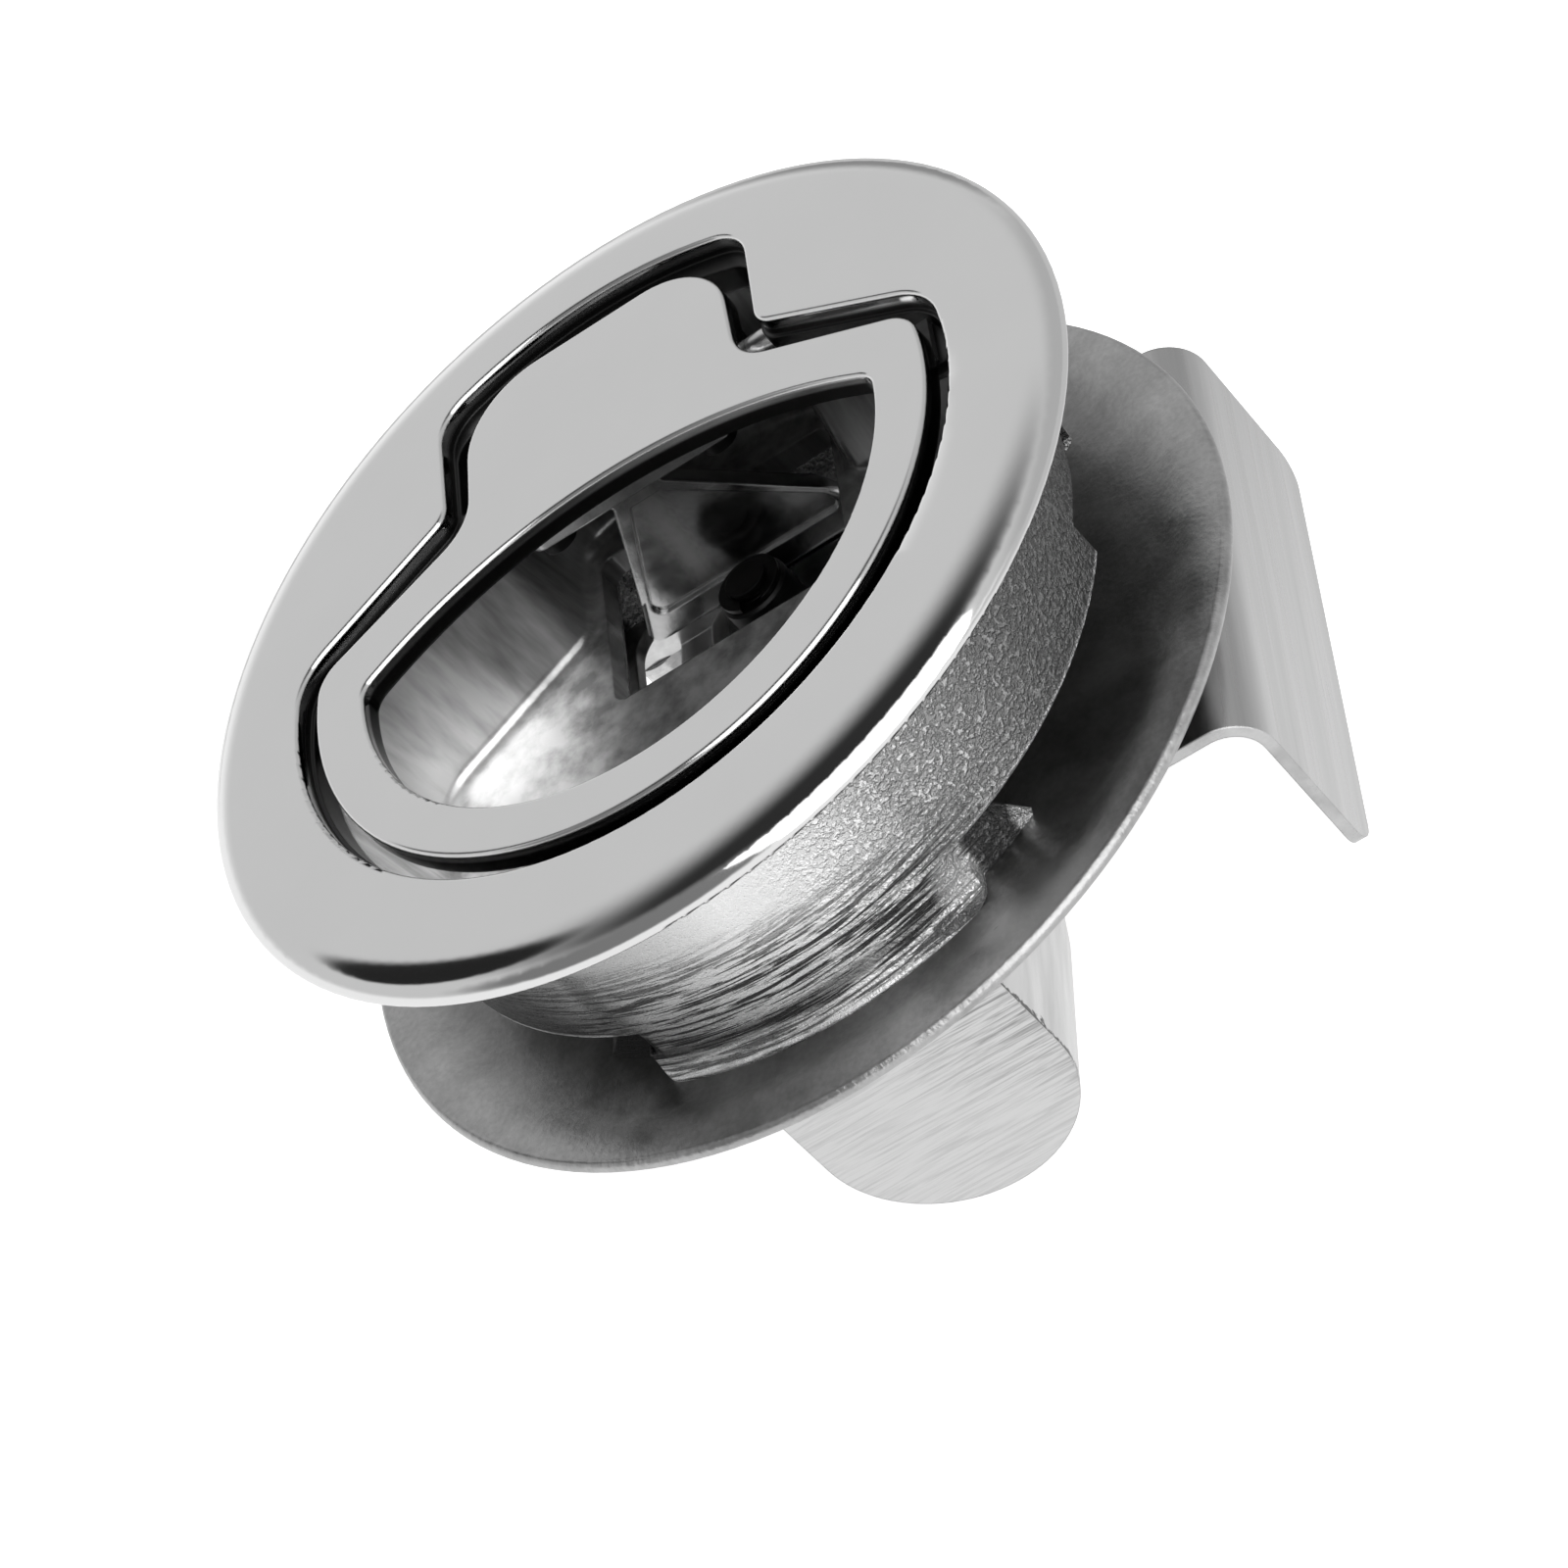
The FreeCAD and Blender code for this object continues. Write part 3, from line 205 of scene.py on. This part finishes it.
def mix(tree, value, low, high):
    """Number between two others by a value from 0 to 1."""
    made = node(tree, "ShaderNodeMix", data_type="FLOAT")
    for socket, number in zip(made.inputs[:1] + made.inputs[2:4], (value, low, high)):
        feed(tree, number, socket)
    return made.outputs[0]


def shade(tree, base, amount):
    """A colour made lighter or darker by a number's socket."""
    made = node(tree, "ShaderNodeVectorMath", operation="SCALE")
    feed(tree, base if isinstance(base, bpy.types.NodeSocket) else base[:3], made.inputs[0])
    feed(tree, amount, made.inputs["Scale"])
    return made.outputs[0]


def places(tree):
    """Object coordinates in millimetres: the vector, x, y, z and the distance from the axis."""
    coord = node(tree, "ShaderNodeTexCoord")
    scaled = node(tree, "ShaderNodeVectorMath", operation="SCALE")
    scaled.inputs["Scale"].default_value = 1000.0
    tree.links.new(coord.outputs["Object"], scaled.inputs[0])
    split = node(tree, "ShaderNodeSeparateXYZ")
    tree.links.new(scaled.outputs[0], split.inputs[0])
    x, y, z = split.outputs
    across = calc(tree, "SQRT", plus(tree, times(tree, x, x), times(tree, y, y)))
    return scaled.outputs[0], x, y, z, across


def joined(tree, x, y, z):
    made = node(tree, "ShaderNodeCombineXYZ")
    for socket, value in zip(made.inputs, (x, y, z)):
        feed(tree, value, socket)
    return made.outputs[0]


def stretched(tree, where, scale, turn_deg=(0, 0, 0)):
    made = node(tree, "ShaderNodeMapping", Scale=scale,
                Rotation=[math.radians(a) for a in turn_deg])
    tree.links.new(where, made.inputs["Vector"])
    return made.outputs["Vector"]


def noise(tree, where, scale, detail=4.0, roughness=0.55, warp=0.0):
    made = node(tree, "ShaderNodeTexNoise", Scale=scale, Detail=detail, Roughness=roughness,
                Distortion=warp)
    tree.links.new(where, made.inputs["Vector"])
    return made.outputs["Fac"]


def relief(tree, shader, height, strength, distance_mm, edge_mm=0.0):
    """Bump from a height, laid over edges that are rounded for the light."""
    made = node(tree, "ShaderNodeBump", Strength=strength, Distance=distance_mm * MM)
    tree.links.new(height, made.inputs["Height"])
    if edge_mm > 0:
        rounded = node(tree, "ShaderNodeBevel", samples=6, Radius=edge_mm * MM)
        tree.links.new(rounded.outputs[0], made.inputs["Normal"])
    tree.links.new(made.outputs["Normal"], shader.inputs["Normal"])


def distance_to(tree, where, point):
    made = node(tree, "ShaderNodeVectorMath", operation="DISTANCE")
    feed(tree, where, made.inputs[0])
    made.inputs[1].default_value = point
    return made.outputs["Value"]


def grey(base, share):
    return tuple(min(1.0, c * share) for c in base[:3]) + (1.0,)


def latch_steel(name):
    material, tree, shader = new_material(name)
    shader.inputs["Metallic"].default_value = 1.0
    return material, tree, shader


def wall_length(tree, x, y):
    """Way round the cup in millimetres, from 0 at the -Y side, growing toward +X."""
    return times(tree, calc(tree, "ARCTAN2", x, times(tree, y, -1.0)), CUP_RADIUS)


def wavering(tree, value, source, amount):
    """A value moved up and down by a noise, for a ragged border."""
    return plus(tree, value, spread(tree, source, 0.3, 0.7, -amount, amount))


def painted_light_round_cup(tree, along):
    """Ramp of painted shade and painted highlight in the cast skin's grey round the cup, as a share
    of its brightest.
    """
    ramp = node(tree, "ShaderNodeValToRGB")
    stops = ramp.color_ramp.elements
    while len(stops) < len(WALL_PAINTED_LIGHT):
        stops.new(0.5)
    for stop, (at, level) in zip(stops, WALL_PAINTED_LIGHT):
        stop.position = at
        stop.color = (level / WALL_PAINTED_BRIGHTEST,) * 3 + (1,)
    tree.links.new(spread(tree, along, -HALF_ROUND, HALF_ROUND, 0.0, 1.0), ramp.inputs[0])
    return ramp.outputs[0]


def cast_skin(tree, finish, where, x, y, z, across):
    """Colour of the cast skin, with the height of its pits and scratches."""
    steel = finish.cast
    along = wall_length(tree, x, y)
    aside = calc(tree, "ABSOLUTE", x)
    pits = noise(tree, where, 2.9, 3.0, 0.6)
    scratch = noise(tree, joined(tree, times(tree, along, 0.16), times(tree, z, 3.4), 0.0),
                    1.0, 5.0, 0.66, 0.5)

    # Pits on the right and the back, scratches low on the front
    pit_share = calc(tree, "MAXIMUM", step(tree, along, 0.0, 16.0),
                     step(tree, along, -45.0, -70.0))
    scratch_share = times(tree, step(tree, plus(tree, z, times(tree, along, 0.10)), -7.0, -11.5),
                          without(tree, step(tree, along, 9.0, 20.0)),
                          step(tree, along, -60.0, -35.0))
    deep = times(tree, step(tree, scratch, 0.49, 0.57), scratch_share)
    speckle = mix(tree, pit_share, 1.0, spread(tree, pits, 0.36, 0.64, 0.55, 1.2))
    # Cast grey with painted shade and painted highlight round the cup
    cast = shade(tree, grey(steel, WALL_PAINTED_BRIGHTEST), painted_light_round_cup(tree, along))
    cast = tint(tree, deep, shade(tree, cast, speckle), grey(steel, 0.10))

    # Painted shade on the ends of the feet, pitted on the right and darkest at the left end
    foot = step(tree, z, *FOOT_TOP_Z)
    cast = tint(tree, times(tree, step(tree, aside, *FOOT_END_X), foot), cast,
                shade(tree, steel, spread(tree, pits, 0.3, 0.7, 0.08, 0.34)))
    cast = tint(tree, times(tree, step(tree, x, *LEFT_END_X), foot), cast, grey(steel, 0.04))
    # Painted highlight on the right foot's corner
    corner = times(tree, step(tree, x, 14.3, 14.7), step(tree, z, -15.2, -15.6))
    cast = tint(tree, corner, cast, grey(steel, 1.3))

    # Lip of the feet, with a painted highlight broken by scratches, and a torn dark band above it
    torn = wavering(tree, z, scratch, 0.7)
    outer = step(tree, across, *LIP_R)
    under = times(tree, step(tree, torn, -14.6, -15.0), outer)
    cast = tint(tree, times(tree, under, 0.6), cast, grey(steel, 0.12))
    # Painted highlight on the lip, broken by scratches
    cast = tint(tree, times(tree, step(tree, torn, -15.6, -15.9), outer), cast,
                shade(tree, steel, spread(tree, scratch, 0.38, 0.58, 1.45, 0.3)))

    # Painted highlights on the rear edge of the wall and on the rounded nose at the right foot's
    # end
    rear_edge_highlight = times(tree, step(tree, z, -12.6, -12.9), step(tree, aside, 12.4, 12.8),
                      step(tree, z, -13.45, -13.35))
    cast = tint(tree, rear_edge_highlight, cast, grey(steel, 1.25))
    # Painted highlight on the rounded nose of the right foot
    nose_highlight = wavering(tree, distance_to(tree, where, (11.0, -23.2, -14.6)), scratch, 0.6)
    cast = tint(tree, step(tree, nose_highlight, 2.4, 1.0), cast, grey(steel, 1.3))

    height = plus(tree, times(tree, step(tree, pits, 0.40, 0.62), pit_share),
                  times(tree, deep, -0.8))
    return cast, height


def cavity_satin_painted_light(tree, finish, where, x, y):
    """Streaky satin of the cavity with painted reflections in its streaks; painted shade makes it
    darker to the right and toward the ends of its left wall, with a painted highlight between.
    """
    # Satin streaks, which also stand in as painted reflections
    satin_and_reflection_streaks = noise(tree, stretched(tree, where, (0.35, 0.35, 0.05)), 1.0, 4.0, 0.6)
    satin = shade(tree, finish.inside, spread(tree, satin_and_reflection_streaks, 0.34, 0.62, 0.45, 1.1))
    # Painted shade to the right
    satin = shade(tree, satin, mix(tree, step(tree, x, -7.0, -14.0), 0.22, 1.0))
    # Painted highlight in the middle of the left wall, painted shade toward its ends
    from_middle = calc(tree, "ABSOLUTE", plus(tree, y, 1.0))
    return shade(tree, satin, mix(tree, step(tree, from_middle, 6.0, 12.0), 1.4, 0.8))


def mirror_steel(tree, finish, where):
    """Polished steel with a faint cloud in it."""
    cloud = noise(tree, where, 0.12, 3.0)
    return tint(tree, cloud, grey(finish.polished, 0.97), grey(finish.polished, 1.02))


def flange_finish(finish):
    """Mirror flange, recess darkened by painted shade, satin cavity with painted shade and
    highlight, and cast skin with pits, long scratches, painted shade and painted highlights.
    """
    material, tree, shader = latch_steel("flange_steel")
    where, x, y, z, across = places(tree)
    fine = noise(tree, where, 9.0, 3.0, 0.6)

    outside = times(tree, step(tree, across, *CUP_SKIN_R), step(tree, z, *BELOW_FLANGE_Z))
    outside = calc(tree, "MAXIMUM", outside, step(tree, z, *BEHIND_CUP_Z))
    # Painted shade in the recess below the edges
    recess_painted_shade = times(tree, step(tree, z, *BELOW_EDGE_Z), step(tree, z, *RECESS_END_Z),
                 step(tree, across, *RECESS_R))
    cavity = step(tree, z, *CAVITY_Z)

    cast, skin_height = cast_skin(tree, finish, where, x, y, z, across)
    base = tint(tree, cavity, mirror_steel(tree, finish, where),
                cavity_satin_painted_light(tree, finish, where, x, y))
    base = tint(tree, recess_painted_shade, base, finish.recess)
    tree.links.new(tint(tree, outside, base, cast), shader.inputs["Base Color"])

    rough = mix(tree, cavity, finish.gloss, 0.2)
    rough = mix(tree, recess_painted_shade, rough, 0.35)
    rough = mix(tree, outside, rough, spread(tree, fine, 0.3, 0.7, 0.22, 0.42))
    tree.links.new(rough, shader.inputs["Roughness"])

    clad = times(tree, cavity, without(tree, outside))
    tree.links.new(without(tree, times(tree, clad, 0.45)), shader.inputs["Metallic"])

    height = times(tree, plus(tree, skin_height, times(tree, fine, 0.25)), outside)
    height = plus(tree, height, times(tree, cavity, fine, 0.05))
    relief(tree, shader, height, 1.0, 0.16, finish.edge)
    return material


def handle_finish(finish):
    """Mirror top, with painted shade on its sides below the edge."""
    material, tree, shader = latch_steel("handle_steel")
    where, x, y, z, across = places(tree)
    # Painted shade on the handle's sides below the edge
    low = step(tree, z, 1.25, 0.95)
    tree.links.new(tint(tree, low, mirror_steel(tree, finish, where), grey(finish.recess, 0.6)),
                   shader.inputs["Base Color"])
    tree.links.new(mix(tree, low, finish.gloss, 0.25), shader.inputs["Roughness"])
    relief(tree, shader, noise(tree, where, 0.5, 2.0), 0.02, 0.05, finish.edge)
    return material


def plate_finish(finish):
    """Dull mottled sheet, darker round the cup with painted shade and lighter at the rim, with a
    painted reflection near a foot, its edge finely nicked.
    """
    material, tree, shader = latch_steel("plate_steel")
    where, x, y, z, across = places(tree)
    mottle = noise(tree, where, 0.2, 6.0, 0.62, 0.2)
    grain = noise(tree, where, 2.4, 4.0, 0.6)
    # Painted shade near the cup, fading out toward the rim
    outer = step(tree, plus(tree, across, times(tree, mottle, 2.5)), 27.5, 32.5)
    base = tint(tree, outer, finish.plate_inner_shade, finish.plate_outer)
    base = shade(tree, base, spread(tree, mottle, 0.3, 0.7, 0.8, 1.2))
    base = shade(tree, base, spread(tree, grain, 0.3, 0.7, 0.9, 1.1))
    # Painted reflection near the right foot
    plate_reflection = wavering(tree, distance_to(tree, where, (14.5, -24.5, -17.0)), grain, 0.8)
    base = tint(tree, step(tree, plate_reflection, 6.0, 0.5), base, grey(finish.plate_outer, 1.15))
    pit = distance_to(tree, stretched(tree, where, (1.0, 1.6, 1.0)), (12.0, -26.6 * 1.6, -17.0))
    base = tint(tree, step(tree, pit, 0.62, 0.45), base, grey(finish.plate_inner_shade, 0.15))
    tree.links.new(base, shader.inputs["Base Color"])
    tree.links.new(spread(tree, mottle, 0.3, 0.7, 0.28, 0.42), shader.inputs["Roughness"])
    turn = calc(tree, "ARCTAN2", y, x)
    nicks = noise(tree, joined(tree, times(tree, turn, 60.0), times(tree, z, 1.5), 0.0), 1.0, 3.0)
    edge = step(tree, across, *PLATE_EDGE_R)
    height = plus(tree, times(tree, grain, 0.35), times(tree, nicks, edge, 1.2))
    relief(tree, shader, height, 0.5, 0.12, finish.edge)
    return material


def barrel_finish(finish):
    """Smooth satin flanks, and a flat ground end with slanted scratches and a rough dark edge."""
    material, tree, shader = latch_steel("housing_steel")
    where, x, y, z, across = places(tree)
    end = step(tree, y, *BARREL_END_Y)
    slant = noise(tree, stretched(tree, where, (0.2, 1.0, 4.2), (0, -8, 0)), 1.0, 5.0, 0.62, 0.4)
    soft = noise(tree, stretched(tree, where, (0.7, 0.06, 0.7)), 1.0, 4.0)
    ragged = wavering(tree, y, noise(tree, where, 1.6, 4.0, 0.7), 0.45)
    torn = times(tree, step(tree, ragged, -23.5, -23.65), without(tree, end))
    flank = shade(tree, finish.satin, spread(tree, soft, 0.3, 0.7, 0.85, 1.15))
    deep_side = step(tree, plus(tree, x, z), -30.0, -16.0)
    lowest = mix(tree, deep_side, 0.86, 0.45)
    face = shade(tree, finish.ground, spread(tree, slant, 0.36, 0.56, lowest, 1.05))
    base = tint(tree, torn, flank, grey(finish.satin, 0.12))
    tree.links.new(tint(tree, end, base, face), shader.inputs["Base Color"])
    rough = mix(tree, end, 0.24, spread(tree, slant, 0.3, 0.7, 0.30, 0.45))
    tree.links.new(rough, shader.inputs["Roughness"])
    height = mix(tree, end, times(tree, soft, 0.15), times(tree, slant, 0.5))
    relief(tree, shader, height, 0.6, 0.10, finish.edge)
    return material


def sheet_finish(finish):
    """Satin sheet, with long soft lines along its fold."""
    material, tree, shader = latch_steel("tongue_steel")
    where, x, y, z, across = places(tree)
    # The fold is not quite along Y, so the lines follow its skew
    level = calc(tree, "SUBTRACT", x, times(tree, y, 0.048))

    def drawn(cross, length):
        return joined(tree, times(tree, level, cross), times(tree, y, length),
                      times(tree, z, cross))

    lines = noise(tree, drawn(0.45, 0.012), 1.0, 3.0, 0.5)
    hair = noise(tree, drawn(4.0, 0.10), 1.0, 3.0)
    base = shade(tree, finish.sheet, spread(tree, lines, 0.34, 0.66, 0.84, 1.10))
    base = shade(tree, base, spread(tree, hair, 0.3, 0.7, 0.97, 1.03))
    tree.links.new(base, shader.inputs["Base Color"])
    tree.links.new(spread(tree, lines, 0.3, 0.7, 0.2, 0.34), shader.inputs["Roughness"])
    relief(tree, shader, hair, 0.15, 0.03, finish.edge)
    return material


def plain_finish(name, base, rough, edge, grain=0.8):
    material, tree, shader = latch_steel(name)
    where = places(tree)[0]
    mottle = noise(tree, where, grain, 5.0, 0.6)
    tree.links.new(shade(tree, base, spread(tree, mottle, 0.3, 0.7, 0.75, 1.2)),
                   shader.inputs["Base Color"])
    tree.links.new(spread(tree, mottle, 0.3, 0.7, rough - 0.05, rough + 0.06),
                   shader.inputs["Roughness"])
    relief(tree, shader, noise(tree, where, grain * 5, 2.0), 0.15, 0.05, edge)
    return material


def rubber_finish(finish):
    material, tree, shader = new_material("pad_rubber")
    mottle = noise(tree, places(tree)[0], 1.5, 3.0)
    tree.links.new(shade(tree, finish.rubber, spread(tree, mottle, 0.3, 0.7, 0.8, 1.4)),
                   shader.inputs["Base Color"])
    shader.inputs["Roughness"].default_value = 0.7
    return material


def dress(name, material, sharp_deg=32.0):
    """Gives a CAD node its finish, and smooth shading between its true edges."""
    obj = NODES[name]
    obj.data.materials.clear()
    obj.data.materials.append(material)
    weld = obj.modifiers.new("weld", "WELD")
    weld.merge_threshold = 0.000002
    for polygon in obj.data.polygons:
        polygon.use_smooth = True
    split = obj.modifiers.new("true_edges", "EDGE_SPLIT")
    split.split_angle = math.radians(sharp_deg)
    split.use_edge_sharp = False


class LATCH_OT_flange(bpy.types.Operator):
    """Finishes the flange and its cup"""
    bl_idname = "latch.flange"
    bl_label = "Flange and cup"

    def execute(self, context):
        dress("flange_cup", flange_finish(context.scene.latch_finish))
        return {"FINISHED"}


class LATCH_OT_handle(bpy.types.Operator):
    """Finishes the handle and the lever below it"""
    bl_idname = "latch.handle"
    bl_label = "Handle and lever"

    def execute(self, context):
        finish = context.scene.latch_finish
        dress("lift_handle", handle_finish(finish))
        dress("handle_lever", plain_finish("lever_steel", finish.lever, 0.2, finish.edge, 0.3))
        return {"FINISHED"}


class LATCH_OT_rear(bpy.types.Operator):
    """Finishes the clamp plate, barrel and tongue"""
    bl_idname = "latch.rear"
    bl_label = "Plate, barrel and tongue"

    def execute(self, context):
        finish = context.scene.latch_finish
        dress("clamp_plate", plate_finish(finish))
        barrel = barrel_finish(finish)
        dress("rear_housing", barrel)
        dress("barrel_plug", barrel)
        dress("tongue", sheet_finish(finish))
        return {"FINISHED"}


class LATCH_OT_fittings(bpy.types.Operator):
    """Finishes the pins, screws, springs, rollers and pads"""
    bl_idname = "latch.fittings"
    bl_label = "Small fittings"

    def execute(self, context):
        finish = context.scene.latch_finish
        oxide = plain_finish("black_oxide", finish.oxide, 0.4, 0.1)
        turned = plain_finish("turned_steel", finish.satin, 0.2, 0.1)
        wire = plain_finish("wire_steel", finish.satin, 0.3, 0.0)
        choice = {"drive_post": oxide, "slot_roller": oxide, "lever_roller": oxide,
                  "post_clip": oxide, "lever_screws": oxide, "plunger": oxide,
                  "hinge_pin": turned, "housing_screws": turned, "lock_washers": turned,
                  "guide_pins": turned, "handle_spring": wire, "plunger_spring": wire,
                  "handle_bumpers": rubber_finish(finish)}
        for name, material in choice.items():
            dress(name, material)
        return {"FINISHED"}


class LATCH_OT_stage(bpy.types.Operator):
    """Floor, lamps, world and the photo's camera"""
    bl_idname = "latch.stage"
    bl_label = "Set the stage"

    def execute(self, context):
        stage = context.scene.latch_stage
        lay_floor(stage)
        hang_lamps()
        light_world(context.scene, stage)
        aim_camera(context.scene)
        context.scene.view_settings.view_transform = "Standard"
        return {"FINISHED"}


def lay_floor(stage):
    """Pale floor: white to the camera and in the metal, with the part's soft shadow on it."""
    low = CAD_BOX[0].z - stage.floor_drop * MM
    half = stage.floor_size * MM / 2
    mesh = bpy.data.meshes.new("floor")
    mesh.from_pydata([(-half, -half, low), (half, -half, low), (half, half, low),
                      (-half, half, low)], [], [(0, 1, 2, 3)])
    floor = bpy.data.objects.new("floor", mesh)
    bpy.context.scene.collection.objects.link(floor)
    material, tree, shader = new_material("floor_white")
    shader.inputs["Base Color"].default_value = (0.8, 0.8, 0.8, 1)
    shader.inputs["Roughness"].default_value = 0.8
    shader.inputs["Specular IOR Level"].default_value = 0.0
    out = [n for n in tree.nodes if n.type == "OUTPUT_MATERIAL"][0]
    path = node(tree, "ShaderNodeLightPath")
    seen = calc(tree, "MAXIMUM", path.outputs["Is Camera Ray"],
                path.outputs["Is Transmission Ray"])
    glow = node(tree, "ShaderNodeEmission")
    spot = node(tree, "ShaderNodeTexCoord")
    split = node(tree, "ShaderNodeSeparateXYZ")
    tree.links.new(spot.outputs["Object"], split.inputs[0])
    away = step(tree, plus(tree, split.outputs[0], split.outputs[1]), 0.02, 0.12)
    mirrored = times(tree, path.outputs["Is Glossy Ray"], mix(tree, away, 1.0, stage.floor_far))
    strength = calc(tree, "MAXIMUM", times(tree, seen, FLOOR_GLOW), mirrored)
    tree.links.new(strength, glow.inputs["Strength"])
    lit = node(tree, "ShaderNodeAddShader")
    tree.links.new(shader.outputs[0], lit.inputs[0])
    tree.links.new(glow.outputs[0], lit.inputs[1])
    mirror = node(tree, "ShaderNodeMixShader")
    tree.links.new(path.outputs["Is Glossy Ray"], mirror.inputs[0])
    tree.links.new(lit.outputs[0], mirror.inputs[1])
    tree.links.new(glow.outputs[0], mirror.inputs[2])
    tree.links.new(mirror.outputs[0], out.inputs["Surface"])
    mesh.materials.append(material)


def aimed(azimuth, elevation):
    """Unit vector of a direction in degrees."""
    a, e = math.radians(azimuth), math.radians(elevation)
    return Vector((math.cos(e) * math.cos(a), math.cos(e) * math.sin(a), math.sin(e)))


def lamp(name, azimuth, elevation, distance, size, radiance, mirrored=True):
    """Soft rectangular lamp that faces the part. Its power is pi times area times radiance."""
    data = bpy.data.lights.new(name, "AREA")
    data.shape = "RECTANGLE"
    data.size, data.size_y = size
    data.energy = math.pi * size[0] * size[1] * radiance
    obj = bpy.data.objects.new(name, data)
    bpy.context.scene.collection.objects.link(obj)
    way = aimed(azimuth, elevation)
    obj.location = way * distance
    obj.rotation_euler = way.to_track_quat("Z", "Y").to_euler()
    obj.visible_glossy = mirrored
    return obj


def hang_lamps():
    lamp("front_softbox", -55.0, 32.0, 1.2, (1.28, 2.9), FRONT_RADIANCE)
    lamp("key_softbox", -20.0, 60.0, 1.2, (0.8, 0.8), KEY_RADIANCE, False)


def lobe(tree, way, azimuth, elevation, full, gone):
    """1 within so many degrees of a direction, fading to 0."""
    made = node(tree, "ShaderNodeVectorMath", operation="DOT_PRODUCT")
    tree.links.new(way, made.inputs[0])
    made.inputs[1].default_value = aimed(azimuth, elevation)
    return step(tree, made.outputs["Value"], math.cos(math.radians(gone)),
                math.cos(math.radians(full)))


def light_world(scene, stage):
    """White round the horizon, grey at the back and darker above and behind the camera."""
    world = bpy.data.worlds.new("studio")
    world.use_nodes = True
    tree = world.node_tree
    tree.nodes.clear()
    out = node(tree, "ShaderNodeOutputWorld")
    coord = node(tree, "ShaderNodeTexCoord")
    way = coord.outputs["Generated"]
    split = node(tree, "ShaderNodeSeparateXYZ")
    tree.links.new(way, split.inputs[0])
    up = split.outputs[2]
    level = mix(tree, step(tree, up, 0.10, 0.36), 1.0, stage.sky_back)
    level = mix(tree, lobe(tree, way, 35, 0, 35, 60), level, stage.sky_right)
    level = mix(tree, lobe(tree, way, 92, 3, 5, 17), level, 0.6 * stage.sky_right)
    level = mix(tree, lobe(tree, way, 113, 82, 14, 41), level, stage.sky_top)
    level = mix(tree, lobe(tree, way, -124, 42, 26, 42), level, stage.sky_near)
    level = mix(tree, lobe(tree, way, 146, 44, 9, 13), level, stage.sky_card)

    path = node(tree, "ShaderNodeLightPath")
    seen = calc(tree, "MAXIMUM", path.outputs["Is Camera Ray"],
                path.outputs["Is Transmission Ray"])
    glow = mix(tree, path.outputs["Is Glossy Ray"], FILL_LEVEL, level)
    glow = mix(tree, seen, glow, 1.0)
    back = node(tree, "ShaderNodeBackground")
    tree.links.new(glow, back.inputs["Strength"])
    tree.links.new(back.outputs[0], out.inputs["Surface"])
    back.inputs["Color"].default_value = (1, 1, 1, 1)
    scene.world = world


def aim_camera(scene):
    data = bpy.data.cameras.new("photo_camera")
    data.lens = CAMERA_LENS
    data.sensor_width = 36.0
    data.sensor_fit = "HORIZONTAL"
    data.clip_start = 0.01
    data.clip_end = 20.0
    obj = bpy.data.objects.new("photo_camera", data)
    scene.collection.objects.link(obj)
    obj.location = [c * MM for c in CAMERA_PLACE]
    obj.rotation_euler = Euler([math.radians(a) for a in CAMERA_TURN], "XYZ")
    scene.camera = obj


class LATCH_PT_panel(bpy.types.Panel):
    bl_label = "Latch"
    bl_idname = "LATCH_PT_panel"
    bl_space_type = "VIEW_3D"
    bl_region_type = "UI"
    bl_category = "Latch"

    def draw(self, context):
        for group in (context.scene.latch_finish, context.scene.latch_stage):
            for key in group.bl_rna.properties.keys():
                if key not in ("rna_type", "name"):
                    self.layout.prop(group, key)
        for cls in STEPS:
            self.layout.operator(cls.bl_idname)


STEPS = (LATCH_OT_flange, LATCH_OT_handle, LATCH_OT_rear, LATCH_OT_fittings, LATCH_OT_stage)
CLASSES = (LatchFinish, LatchStage) + STEPS + (LATCH_PT_panel,)


def register():
    for cls in CLASSES:
        bpy.utils.register_class(cls)
    bpy.types.Scene.latch_finish = bpy.props.PointerProperty(type=LatchFinish)
    bpy.types.Scene.latch_stage = bpy.props.PointerProperty(type=LatchStage)


def unregister():
    del bpy.types.Scene.latch_stage
    del bpy.types.Scene.latch_finish
    for cls in reversed(CLASSES):
        bpy.utils.unregister_class(cls)


def main():
    register()
    bpy.ops.latch.flange()
    bpy.ops.latch.handle()
    bpy.ops.latch.rear()
    bpy.ops.latch.fittings()
    bpy.ops.latch.stage()


if __name__ == "__main__":
    main()
